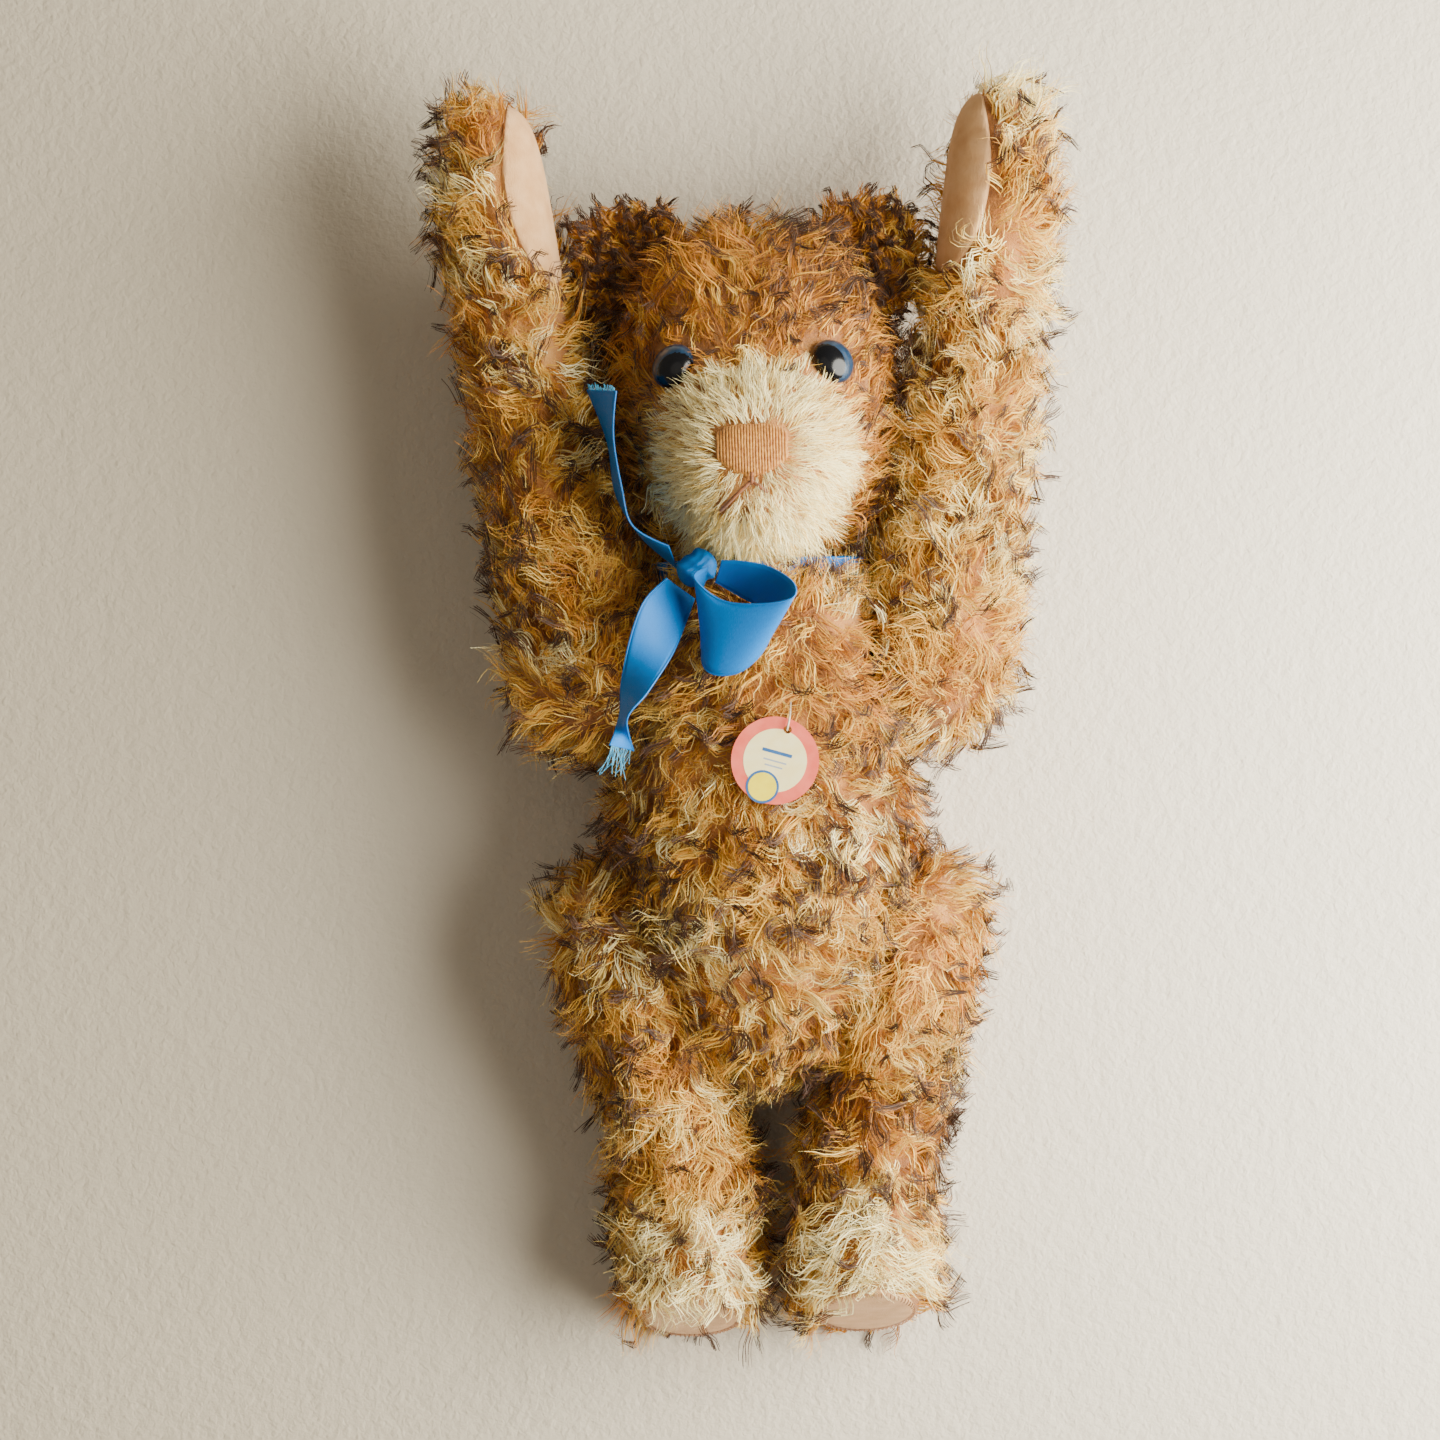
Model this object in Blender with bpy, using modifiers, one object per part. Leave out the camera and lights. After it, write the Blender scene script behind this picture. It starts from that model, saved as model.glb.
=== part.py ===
"""Jointed mohair teddy bear, lying on its back with its arms turned up beside its head.

Metres, with +Z up out of the belly, +Y towards the head and +X to the bear's own left. The origin is under
the middle of the bear, on the surface that it lies on. Each cover is a thin shell round its stuffing, and
each limb turns on a cotter pin that clamps a pair of discs, one on either side of the two covers.
"""

import math

import bmesh
import bpy
from mathutils import Matrix, Vector
from mathutils.bvhtree import BVHTree

MM = 0.001
GAP = 0.3 * MM  # between pieces that touch
FILL_GAP = 1.2 * MM  # between a cover and its stuffing

# Driving dimensions, in metres
HEEL_Y = -192.5 * MM  # where the plane of the soles meets the surface
PAW_TIP_Y = 192.5 * MM
NECK_Y = 48.0 * MM
NECK_Z = 44.0 * MM
SHOULDER = Vector((34.0, 22.5, 45.0)) * MM  # where the arm's axis leaves the body
HIP = Vector((31.0, -70.0, 41.0)) * MM
HIP_TURN = math.radians(17.0)  # the leg's axis points this far towards the feet
SOLE_TILT = math.radians(20.0)  # toes lean back towards the shins

COVER = 2.5 * MM  # backing and pressed underfur
SEAM_GAP = 0.25 * MM  # either side of a seam between two covers
PRESS_GAP = 0.6 * MM  # between the body's cover and a limb's, at a joint

DISC_THICK = 2.5 * MM
DISC_RADIUS = {"neck": 14.5 * MM, "shoulder": 11.5 * MM, "hip": 15.0 * MM}
WASHER_THICK = 1.0 * MM
WASHER_RADIUS = 7.0 * MM
HOLE_RADIUS = 2.1 * MM
STACK_GAP = 0.4 * MM
WIRE_RADIUS = 0.7 * MM
WIRE_SPREAD = 0.85 * MM  # from the pin's axis to each of its two legs
POCKET_DEPTH = 13.8 * MM
CURL_RADIUS = 1.9 * MM

EYE_RADIUS = 7.0 * MM
EYE_PLACE = (23.0 * MM, 109.0 * MM)
EAR_RADIUS = 16.5 * MM
SOLE_HALF = (14.5 * MM, 26.0 * MM)
SOLE_MIDDLE_Z = 31.5 * MM
TAG_RADIUS = 13.0 * MM
TAG_THICK = 0.8 * MM
RIBBON_THICK = 0.5 * MM

RING_SIDES = 8
PLUMP = 1.081  # a subdivided eight-sided ring is this much slimmer than its cage

# depths below the outside of a cover, where each piece of a joint begins
DISC_AT = COVER + STACK_GAP
WASHER_AT = DISC_AT + DISC_THICK + STACK_GAP
PIN_AT = WASHER_AT + WASHER_THICK + STACK_GAP + WIRE_RADIUS


# ---------------------------------------------------------------- scene and helpers


def clear_scene():
    for obj in list(bpy.data.objects):
        bpy.data.objects.remove(obj, do_unlink=True)


def new_collection(name, hidden=False):
    collection = bpy.data.collections.new(name)
    bpy.context.scene.collection.children.link(collection)
    collection.hide_render = hidden
    return collection


def material(name, colour, roughness, metallic=0.0):
    made = bpy.data.materials.new(name)
    made.use_nodes = True
    shader = made.node_tree.nodes["Principled BSDF"]
    shader.inputs["Base Color"].default_value = (*colour, 1.0)
    shader.inputs["Roughness"].default_value = roughness
    shader.inputs["Metallic"].default_value = metallic
    return made


def add_object(name, data, finish=None):
    """An object in the bear's collection, shaded smooth with sharp edges kept."""
    obj = bpy.data.objects.new(name, data)
    bear.objects.link(obj)
    if finish:
        data.materials.append(finish)
    if isinstance(data, bpy.types.Mesh):
        data.shade_smooth()
        data.set_sharp_from_angle(angle=math.radians(40))
    return obj


def add_cutter(name, data, place=None):
    obj = bpy.data.objects.new(name, data)
    cutters.objects.link(obj)
    obj.hide_render = True
    obj.display_type = "WIRE"
    if place:
        obj.matrix_world = place
    return obj


def mesh_from(bm, name):
    bmesh.ops.recalc_face_normals(bm, faces=bm.faces)
    mesh = bpy.data.meshes.new(name)
    bm.to_mesh(mesh)
    bm.free()
    return mesh


def boolean(obj, operation, tools):
    """One exact Boolean with one cutter, or with several at once."""
    step = obj.modifiers.new(operation, "BOOLEAN")
    step.operation = operation
    step.solver = "EXACT"
    if len(tools) == 1:
        step.object = tools[0]
        return
    group = bpy.data.collections.new(f"{obj.name} cutters")
    cutters.children.link(group)
    group.hide_render = True
    for tool in tools:
        group.objects.link(tool)
    step.operand_type = "COLLECTION"
    step.collection = group


def solidify(obj, thickness):
    """Thickens a surface inwards."""
    step = obj.modifiers.new("wall", "SOLIDIFY")
    step.thickness = thickness
    step.offset = -1.0


def displace(obj, distance):
    """Moves a surface along its normals."""
    step = obj.modifiers.new("offset", "DISPLACE")
    step.mid_level = 0.0
    step.strength = distance


def applied(obj):
    """The object's mesh with its modifiers applied. The object itself is removed."""
    bpy.context.view_layer.update()
    graph = bpy.context.evaluated_depsgraph_get()
    mesh = bpy.data.meshes.new_from_object(obj.evaluated_get(graph))
    mesh.name = obj.name
    bpy.data.objects.remove(obj, do_unlink=True)
    return mesh


def mirrored(mesh, name):
    """A copy of a mesh, mirrored to the bear's other side."""
    copy = mesh.copy()
    copy.name = name
    copy.transform(Matrix.Scale(-1, 4, (1, 0, 0)))
    copy.flip_normals()
    return copy


def carry(obj, empty):
    """Parents an object to a joint's empty and leaves it where it is."""
    obj.parent = empty
    obj.matrix_parent_inverse = empty.matrix_world.inverted()


def cylinder(name, radius, low, high, sides=24):
    """A cylinder along Z from low to high."""
    bm = bmesh.new()
    bmesh.ops.create_cone(
        bm, cap_ends=True, segments=sides, radius1=radius, radius2=radius, depth=high - low
    )
    bmesh.ops.translate(bm, vec=(0, 0, (low + high) / 2), verts=bm.verts)
    return mesh_from(bm, name)


def ellipsoid(name, half, sides=16):
    bm = bmesh.new()
    bmesh.ops.create_uvsphere(bm, u_segments=sides, v_segments=sides // 2, radius=1.0)
    bmesh.ops.scale(bm, vec=half, verts=bm.verts)
    return mesh_from(bm, name)


def turned(name, profile, finish, sides):
    """A Screw modifier round Z on a profile of (radius, height), outer side first and top to bottom."""
    mesh = bpy.data.meshes.new(name)
    closed = profile[0][0] > 0 and profile[-1][0] > 0
    count = len(profile)
    edges = [(i, (i + 1) % count) for i in range(count if closed else count - 1)]
    mesh.from_pydata([(r, 0, z) for r, z in profile], edges, [])
    obj = add_object(name, mesh, finish)
    screw = obj.modifiers.new("turn", "SCREW")
    screw.steps = screw.render_steps = sides
    screw.use_merge_vertices = True
    screw.merge_threshold = 0.00001
    return obj


# ---------------------------------------------------------------- stuffed forms


def ring_cage(name, rings, along, crown=0.0):
    """A closed cage of elliptical rings set across Y or Z, its two end rings capped.

    Each ring is (where it stands, its centre's x, its centre across, half width in x, half size across,
    lean in degrees), in millimetres. crown widens each ring's upper end.
    """
    bm = bmesh.new()
    loops = []
    for at, centre_x, centre_v, half_x, half_v, lean in rings:
        loop = []
        for i in range(RING_SIDES):
            angle = 2 * math.pi * (i + 0.5) / RING_SIDES
            wide = 1 + crown * max(0.0, math.sin(angle)) ** 3
            x = centre_x + half_x * PLUMP * wide * math.cos(angle)
            v = half_v * PLUMP * math.sin(angle)
            place = at + v * math.tan(math.radians(lean))
            corner = (x, place, centre_v + v) if along == "Y" else (x, centre_v + v, place)
            loop.append(bm.verts.new(corner))
        loops.append(loop)
    for near, far in zip(loops, loops[1:]):
        for i in range(RING_SIDES):
            j = (i + 1) % RING_SIDES
            bm.faces.new((near[i], near[j], far[j], far[i]))
    bm.faces.new(loops[0])
    bm.faces.new(loops[-1])
    bmesh.ops.scale(bm, vec=(MM, MM, MM), verts=bm.verts)
    return mesh_from(bm, name)


def stuffed_form(name, rings, along, planes, crown=0.0):
    """The outside of one stuffed piece: a subdivided cage, pressed flat against each plane.

    A plane is (point, outward normal, radius, relief): beyond the radius the surface may rise past the
    plane by relief times the distance.
    """
    obj = add_object(name, ring_cage(name, rings, along, crown))
    subdivide = obj.modifiers.new("soften", "SUBSURF")
    subdivide.levels = subdivide.render_levels = 1
    mesh = applied(obj)
    for point, normal, radius, relief in planes:
        for vertex in mesh.vertices:
            offset = vertex.co - point
            height = offset.dot(normal)
            spread = (offset - height * normal).length
            limit = relief * max(0.0, spread - radius)
            if height > limit:
                vertex.co -= (height - limit) * normal
    return mesh


def cover_of(name, form, finish, openings):
    """A cover: the form as a shell, with an opening for each cutter."""
    obj = add_object(name, form.copy(), finish)
    solidify(obj, COVER)
    boolean(obj, "DIFFERENCE", openings)
    return obj


def patch_of(name, form, finish, outline, lift=0.0, thickness=COVER):
    """The part of a form's shell inside a cutter, raised by lift."""
    obj = add_object(name, form.copy(), finish)
    if lift:
        displace(obj, lift + thickness)
    solidify(obj, thickness)
    boolean(obj, "INTERSECT", [outline])
    return obj


def stuffing_of(name, form, finish, pockets):
    """The filling: the form less its cover, with a pocket for each cutter."""
    obj = add_object(name, form.copy(), finish)
    displace(obj, -(COVER + FILL_GAP))
    boolean(obj, "DIFFERENCE", pockets)
    return obj


# ---------------------------------------------------------------- joints


def joint_frame(point, normal):
    """A frame with its Z along the joint's axis, away from the body."""
    turn = normal.to_track_quat("Z", "Y").to_matrix().to_4x4()
    return Matrix.Translation(point) @ turn


def joint_empty(name, frame):
    empty = bpy.data.objects.new(name, None)
    empty.empty_display_size = 0.02
    empty.matrix_world = frame
    bear.objects.link(empty)
    return empty


def joint_cutters(name, frame, disc_radius):
    """The cutters of one joint: its pin hole, and the pockets for discs and pin on either side."""
    wide = disc_radius + 0.6 * MM
    reach = POCKET_DEPTH
    hole = cylinder(f"{name}_hole", HOLE_RADIUS, -reach, reach, 11)
    body_side = cylinder(f"{name}_body_pocket", wide, -reach, 0.0)
    limb_side = cylinder(f"{name}_limb_pocket", wide, PRESS_GAP, PRESS_GAP + reach)
    return [add_cutter(mesh.name, mesh, frame) for mesh in (hole, body_side, limb_side)]


def ring_profile(inner, outer, low, high):
    return [(outer, high), (outer, low), (inner, low), (inner, high)]


def cotter_pin(name, empty):
    """One wire: an eye on the limb's side, two legs, and their ends curled on the body's side."""
    eye_at = PRESS_GAP + PIN_AT + 2.4 * MM
    eye_radius = 2.3 * MM
    leg_end = -(PIN_AT + 0.1 * MM)
    start = math.asin(WIRE_SPREAD / eye_radius)
    half = []
    for k in range(6):
        angle = start + (math.pi - start) * (1 - k / 5)
        half.append((eye_radius * math.sin(angle), eye_at - eye_radius * math.cos(angle)))
    half.append((WIRE_SPREAD, 0.5 * PRESS_GAP))
    for k in range(6):
        angle = math.pi * k / 5
        across = WIRE_SPREAD + CURL_RADIUS * (1 - math.cos(angle))
        half.append((across, leg_end - CURL_RADIUS * math.sin(angle)))
    wire = [(-x, z) for x, z in reversed(half[1:])] + half
    curve = bpy.data.curves.new(name, "CURVE")
    curve.dimensions = "3D"
    curve.bevel_depth = WIRE_RADIUS
    curve.bevel_resolution = 1
    curve.use_fill_caps = True
    spline = curve.splines.new("POLY")
    spline.points.add(len(wire) - 1)
    for point, (x, z) in zip(spline.points, wire):
        point.co = (x, 0, z, 1)
    pin = add_object(name, curve, steel)
    pin.parent = empty
    return pin


def joint_hardware(name, seat, axis, disc_radius, limb_word):
    """Discs and washers on either side of the two covers, and the pin. The body's pieces stay with seat."""
    outward = PRESS_GAP
    for side, empty, sign, start in (("body", seat, -1, 0.0), (limb_word, axis, 1, outward)):
        for piece, radius, at, thick, finish, sides in (
            ("disc", disc_radius, DISC_AT, DISC_THICK, hardboard, 16),
            ("washer", WASHER_RADIUS, WASHER_AT, WASHER_THICK, steel, 12),
        ):
            ends = sorted((sign * at, sign * (at + thick)))
            low, high = (start + end for end in ends)
            ring = ring_profile(HOLE_RADIUS, radius, low, high)
            obj = turned(f"{name}_{side}_{piece}", ring, finish, sides)
            obj.parent = empty
    cotter_pin(f"{name}_cotter_pin", axis)


# ---------------------------------------------------------------- the bear's forms

UP, DOWN = Vector((0, 0, 1)), Vector((0, 0, -1))
TO_HEAD, TO_FEET = Vector((0, 1, 0)), Vector((0, -1, 0))
HIP_NORMAL = Vector((math.cos(HIP_TURN), -math.sin(HIP_TURN), 0))
SHOULDER_NORMAL = Vector((1, 0, 0))
SOLE_NORMAL = Vector((0, -math.cos(SOLE_TILT), math.sin(SOLE_TILT)))
SOLE_FOOT = Vector((0, HEEL_Y, 0))
FLOOR = (Vector((0, 0, 0)), DOWN, 1.0, 0.0)


def flipped(vector):
    return Vector((-vector.x, vector.y, vector.z))


def torso_form():
    rings = [
        (-105, 0, 42, 8, 9, 0),
        (-99, 0, 42, 21, 21, 0),
        (-84, 0, 43, 37, 36, 0),
        (-58, 0, 44, 48, 46, 0),
        (-26, 0, 44, 48.5, 48, 0),
        (6, 0, 44, 45, 45, 0),
        (34, 0, 44, 41.5, 40, 0),
        (47, 0, 44, 32, 32, 0),
        (55, 0, 44, 20, 20, 0),
    ]
    neck = (Vector((0, NECK_Y, NECK_Z)), TO_HEAD, 1.0, 0.0)
    seats = []
    for side in (Vector, flipped):
        seats.append((side(SHOULDER), side(SHOULDER_NORMAL), 31 * MM, 0.8))
        seats.append((side(HIP), side(HIP_NORMAL), 35 * MM, 0.8))
    return stuffed_form("torso_form", rings, "Y", [neck, FLOOR, *seats])


def head_form():
    rings = [
        (-1, 0, 103, 20, 26, 0),
        (8, 0, 102, 32, 43, 0),
        (27, 0, 98, 39.5, 58, 0),
        (50, 0, 97, 40.5, 60, 0),
        (70, 0, 98.5, 36, 49, 0),
        (84, 0, 90, 29.5, 34, 0),
        (96, 0, 82, 22.5, 24.5, 0),
        (109, 0, 79, 17, 18.5, 0),
        (116, 0, 78.5, 9, 10, 0),
    ]
    neck = (Vector((0, NECK_Y + PRESS_GAP, NECK_Z)), TO_FEET, 1.0, 0.0)
    return stuffed_form("head_form", rings, "Z", [neck, FLOOR], crown=0.75)


def arm_form():
    rings = [
        (-3, 51, 45, 7, 8, 0),
        (2, 50.5, 45, 17, 18, 0),
        (13, 50, 45, 25, 24, 0),
        (36, 52, 45.5, 25, 24, 0),
        (66, 61, 46, 18, 20, 0),
        (110, 69, 47.5, 15.5, 18, 0),
        (155, 75, 50, 15.5, 19, 0),
        (183, 77, 52, 14, 17, 0),
        (194, 77.5, 53, 8, 10, 0),
    ]
    seat = (SHOULDER + PRESS_GAP * SHOULDER_NORMAL, -SHOULDER_NORMAL, 1.0, 0.0)
    tip = (Vector((0, PAW_TIP_Y, 0)), TO_HEAD, 1.0, 0.0)
    return stuffed_form("arm_form", rings, "Y", [seat, tip])


def leg_form():
    rings = [
        (-198, 27, 27, 15, 25, 20),
        (-178, 27, 31.5, 19.5, 34, 20),
        (-162, 27, 29, 18.5, 28, 12),
        (-144, 27, 26, 18, 20.5, 2),
        (-118, 29.5, 32, 18, 24, 0),
        (-90, 36, 38.5, 20.5, 31.5, 0),
        (-62, 44, 41, 20.5, 31.5, 0),
        (-49, 49, 41, 14.5, 21, 0),
        (-43, 50.5, 41, 6, 9, 0),
    ]
    seat = (HIP + PRESS_GAP * HIP_NORMAL, -HIP_NORMAL, 1.0, 0.0)
    sole = (SOLE_FOOT, SOLE_NORMAL, 1.0, 0.0)
    return stuffed_form("leg_form", rings, "Y", [seat, sole, FLOOR])


# ---------------------------------------------------------------- pieces on the forms


def surface_point(form, origin, direction):
    """Where a ray from outside meets a form, and the form's normal there."""
    bm = bmesh.new()
    bm.from_mesh(form)
    point, normal, _, _ = BVHTree.FromBMesh(bm).ray_cast(origin, direction)
    bm.free()
    return point, normal


def plug_pair(name, mesh_for, place):
    """Two cutters for one seam: a smaller one keeps the panel, a larger one opens the cover."""
    keep = add_cutter(f"{name}_panel_cutter", mesh_for(-SEAM_GAP), place)
    opening = add_cutter(f"{name}_opening_cutter", mesh_for(SEAM_GAP), place)
    return keep, opening


def muzzle_cutters():
    def bounds(grow):
        return ellipsoid("muzzle_bounds", (31.5 * MM + grow, 29 * MM + grow, 38 * MM + grow), 20)

    return plug_pair("muzzle", bounds, Matrix.Translation(Vector((0, 76, 104)) * MM))


def paw_pad_cutters():
    def bounds(grow):
        return ellipsoid("paw_pad_bounds", (14 * MM + grow, 29 * MM + grow, 15 * MM + grow), 16)

    turn = Matrix.Rotation(math.radians(-6), 4, "Z")
    place = Matrix.Translation(Vector((63, 167, 58)) * MM) @ turn
    return plug_pair("paw_pad", bounds, place)


def sole_frame():
    middle = SOLE_MIDDLE_Z
    place = Vector((27.0 * MM, HEEL_Y + middle * math.tan(SOLE_TILT), middle))
    return joint_frame(place, SOLE_NORMAL)


def sole_disc(name, grow, low, high):
    """An oval slab in the sole's own frame, its long side from heel to toes."""
    mesh = cylinder(name, 1.0, low, high, 28)
    mesh.transform(Matrix.Diagonal((SOLE_HALF[0] + grow, SOLE_HALF[1] + grow, 1.0, 1.0)))
    return mesh


def foot_pads(axes):
    """Each pad fills the opening that its cutter makes in the sole. Returns the cutters by side."""
    openings = {}
    for side, sign, _ in both_sides():
        frame = sole_frame() if sign > 0 else mirror_place(sole_frame())
        opening = sole_disc(f"{side}_sole_opening", SEAM_GAP, -6 * MM, 6 * MM)
        openings[side] = add_cutter(opening.name, opening, frame)
        pad = add_object(f"{side}_foot_pad", sole_disc(f"{side}_foot_pad", -SEAM_GAP, -COVER, 0.0), felt)
        pad.matrix_world = frame
        carry(pad, axes[f"{side}_hip"])
    return openings


def eye_frame(form):
    outside = Vector((EYE_PLACE[0], EYE_PLACE[1], 200 * MM))
    point, normal = surface_point(form, outside, DOWN)
    return joint_frame(point + 0.5 * MM * normal, normal)


def glass_eye(name, frame, parent):
    """A domed glass button with a stem that is held in the stuffing."""
    stem, length, rim = 1.3 * MM, 9.0 * MM, 3.0 * MM
    dome = [
        (EYE_RADIUS * math.sin(a), EYE_RADIUS * 0.72 * math.cos(a))
        for a in (math.pi / 2 * k / 5 for k in range(6))
    ]
    back = [(EYE_RADIUS * 0.72, -0.7 * rim), (stem, -rim), (stem, -length), (0.0, -length)]
    eye = turned(name, dome + back, glass, 14)
    eye.matrix_world = frame
    carry(eye, parent)
    return eye


def eye_socket(name, frame):
    socket = ellipsoid(f"{name}_socket", (EYE_RADIUS + 0.5 * MM,) * 2 + (EYE_RADIUS * 0.8,), 16)
    stem_hole = cylinder(f"{name}_stem_hole", 1.8 * MM, -10.5 * MM, 0.0, 10)
    return [add_cutter(mesh.name, mesh, frame) for mesh in (socket, stem_hole)]


def ear(name, sign, head, hollow, parent):
    """A cupped half-moon, hollow in front, seated on the head's corner."""
    bm = bmesh.new()
    bmesh.ops.create_uvsphere(bm, u_segments=14, v_segments=8, radius=EAR_RADIUS)
    for vertex in bm.verts:
        spread = math.hypot(vertex.co.x, vertex.co.y) / EAR_RADIUS
        vertex.co.z = vertex.co.z * 0.28 - 5.0 * MM * (1 - spread**2)
    mesh = mesh_from(bm, name)
    turn = Matrix.Rotation(-sign * math.radians(38), 4, "Z") @ Matrix.Rotation(math.radians(-12), 4, "X")
    mesh.transform(Matrix.Translation(Vector((sign * 36, 145, 44)) * MM) @ turn)
    obj = add_object(name, mesh, head)
    boolean(obj, "DIFFERENCE", [hollow])
    carry(obj, parent)
    return obj


def nose_and_mouth(form, parent):
    """Satin stitches over the top of the muzzle, and two slanted stitches under them."""
    bm = bmesh.new()
    outline = [(-11.5, 86), (-10, 90), (7.5, 90), (9, 86), (7, 79), (1.5, 74.5), (-4, 74.5), (-9.5, 79)]
    low = bm.faces.new([bm.verts.new((x * MM, y * MM, 100 * MM)) for x, y in outline])
    raised = bmesh.ops.extrude_face_region(bm, geom=[low])
    tops = [v for v in raised["geom"] if isinstance(v, bmesh.types.BMVert)]
    bmesh.ops.translate(bm, vec=(0, 0, 30 * MM), verts=tops)
    prism = add_cutter("nose_outline", mesh_from(bm, "nose_outline"))
    nose = patch_of("nose_embroidery", form, thread, prism, lift=GAP, thickness=1.4 * MM)
    carry(nose, parent)
    route = []
    for x, y in ((-9, 66.3), (-5.5, 69.6), (-1.4, 72.5), (1.0, 71.2), (2.8, 69.3)):
        point, normal = surface_point(form, Vector((x * MM, y * MM, 0.2)), DOWN)
        route.append(point + 1.15 * MM * normal)
    mouth = wire_object("mouth_embroidery", route, 0.6 * MM, thread)
    carry(mouth, parent)


def wire_object(name, route, radius, finish):
    """A round thread along a few points."""
    curve = bpy.data.curves.new(name, "CURVE")
    curve.dimensions = "3D"
    curve.bevel_depth = radius
    curve.bevel_resolution = 1
    curve.use_fill_caps = True
    spline = curve.splines.new("POLY")
    spline.points.add(len(route) - 1)
    for point, place in zip(spline.points, route):
        point.co = (*place, 1)
    return add_object(name, curve, finish)


# ---------------------------------------------------------------- ribbon and tag


def spline_point(a, b, c, d, t):
    """The point at t between b and c on the Catmull-Rom curve through a, b, c and d."""
    bend = 2 * a - 5 * b + 4 * c - d
    twist = 3 * b - a - 3 * c + d
    return 0.5 * (2 * b + (c - a) * t + bend * t**2 + twist * t**3)


def smooth_route(stations, steps):
    """Points along a Catmull-Rom curve through the stations, each a tuple of vectors."""
    last = len(stations) - 1
    route = []
    for k in range(steps + 1):
        at = last * k / steps
        i = min(int(at), last - 1)
        t = at - i
        near = [stations[min(max(i + j, 0), last)] for j in (-1, 0, 1, 2)]
        route.append(tuple(spline_point(*four, t) for four in zip(*near)))
    return route


def ribbon_strip(name, stations, steps):
    """A band of satin: each station is its middle and the vector from there to its edge, in millimetres."""
    vectors = [(Vector(middle) * MM, Vector(edge) * MM) for middle, edge in stations]
    bm = bmesh.new()
    rows = []
    for middle, edge in smooth_route(vectors, steps):
        rows.append([bm.verts.new(middle - edge), bm.verts.new(middle + edge)])
    for near, far in zip(rows, rows[1:]):
        bm.faces.new((near[0], near[1], far[1], far[0]))
    obj = add_object(name, mesh_from(bm, name), satin)
    solidify(obj, RIBBON_THICK)
    obj.modifiers["wall"].offset = 0.0
    return obj


def neck_band():
    """The ribbon's turn round the neck, in the groove between the head and the body."""
    low, high, inner = 46.6 * MM, 52.4 * MM, 33.2 * MM
    ring = ring_profile(inner, inner + RIBBON_THICK, -high, -low)
    band = turned("ribbon_neck_band", ring, satin, 28)
    band.matrix_world = Matrix.Translation((0, 0, NECK_Z)) @ Matrix.Rotation(math.radians(90), 4, "X")
    return band


def ribbon_knot():
    knot = ellipsoid("ribbon_knot", (6.5 * MM, 6.0 * MM, 5.5 * MM), 14)
    knot.transform(Matrix.Translation(Vector((-18.5, 49.5, 80.5)) * MM) @ Matrix.Rotation(0.6, 4, "Z"))
    return add_object("ribbon_knot", knot, satin)


def bow_loop():
    stations = [
        ((-16, 46, 87.5), (1, 3.5, 4)),
        ((-18.5, 38, 92), (-1, 8, 7)),
        ((-14, 29, 97), (2.5, 10, 4.5)),
        ((-4, 27.5, 101), (4, 10, 5)),
        ((4.5, 31, 102), (4.5, 8, 6.5)),
        ((6.5, 37.5, 97), (3, 6, 9)),
        ((1, 43, 92), (2, 5.5, 8)),
        ((-6, 46, 90), (1.5, 4.5, 7)),
        ((-12, 48, 90.5), (1, 3, 4)),
    ]
    return ribbon_strip("ribbon_bow_loop", stations, 24)


def lower_tail():
    stations = [
        ((-23.5, 43.5, 83), (-4, 3, 4)),
        ((-28.5, 36, 89), (-6, 3.5, 4)),
        ((-33, 25.5, 91.5), (-6, 2.5, 0)),
        ((-38, 14, 92), (-4, 1.5, -5.5)),
        ((-41.5, 5.5, 91), (-1, 0.5, -6)),
        ((-42.3, -3.5, 90), (-3.4, 1, 5.5)),
    ]
    return ribbon_strip("ribbon_lower_tail", stations, 14)


def upper_tail():
    stations = [
        ((-25.5, 53, 80), (-1, 3, 6)),
        ((-36, 61, 80), (-1, 1.5, 8.5)),
        ((-41, 73, 81), (0.8, 0.4, 10)),
        ((-43, 88, 83), (1.2, 0, 10.3)),
        ((-45.2, 103, 86), (4.6, -1, 9)),
    ]
    return ribbon_strip("ribbon_upper_tail", stations, 12)


def chest_tag():
    """A card disc that lies on the chest, and the thread that ties it there."""
    centre = Vector((3.0, -8.5, 95.5)) * MM
    hole = Vector((7.0, 0.5, 95.5)) * MM
    axis = joint_empty("tag_thread_axis", Matrix.Translation(hole))
    tag = cylinder("chest_tag", TAG_RADIUS, -TAG_THICK / 2, TAG_THICK / 2, 32)
    tag.transform(Matrix.Translation(centre))
    tag = add_object("chest_tag", tag, card)
    punch = cylinder("tag_hole", 1.3 * MM, -3 * MM, 3 * MM, 10)
    boolean(tag, "DIFFERENCE", [add_cutter("tag_hole", punch, Matrix.Translation(hole))])
    carry(tag, axis)
    steps = [(0, 0, -1.5), (0, 0, 1.5), (0.5, 3, 1.5), (1, 6, -2), (1.2, 8, -6.5)]
    wire_object("tag_thread", [hole + Vector(step) * MM for step in steps], 0.3 * MM, cord)


# ---------------------------------------------------------------- assembly


def both_sides():
    return (("left", 1, Vector), ("right", -1, flipped))


def mirror_place(frame):
    """The mirror image of a cutter's place, for cutters that are symmetric themselves."""
    flip = Matrix.Scale(-1, 4, (1, 0, 0))
    return flip @ frame @ flip


def side_form(form, side, sign):
    return form if sign > 0 else mirrored(form, f"{side}_{form.name}")


def copy_cutter(cutter, side, sign):
    """The same cutter for one side."""
    if sign > 0:
        return cutter
    mesh = mirrored(cutter.data, cutter.data.name)
    return add_cutter(f"{side}_{cutter.name}", mesh, mirror_place(cutter.matrix_world))


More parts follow.
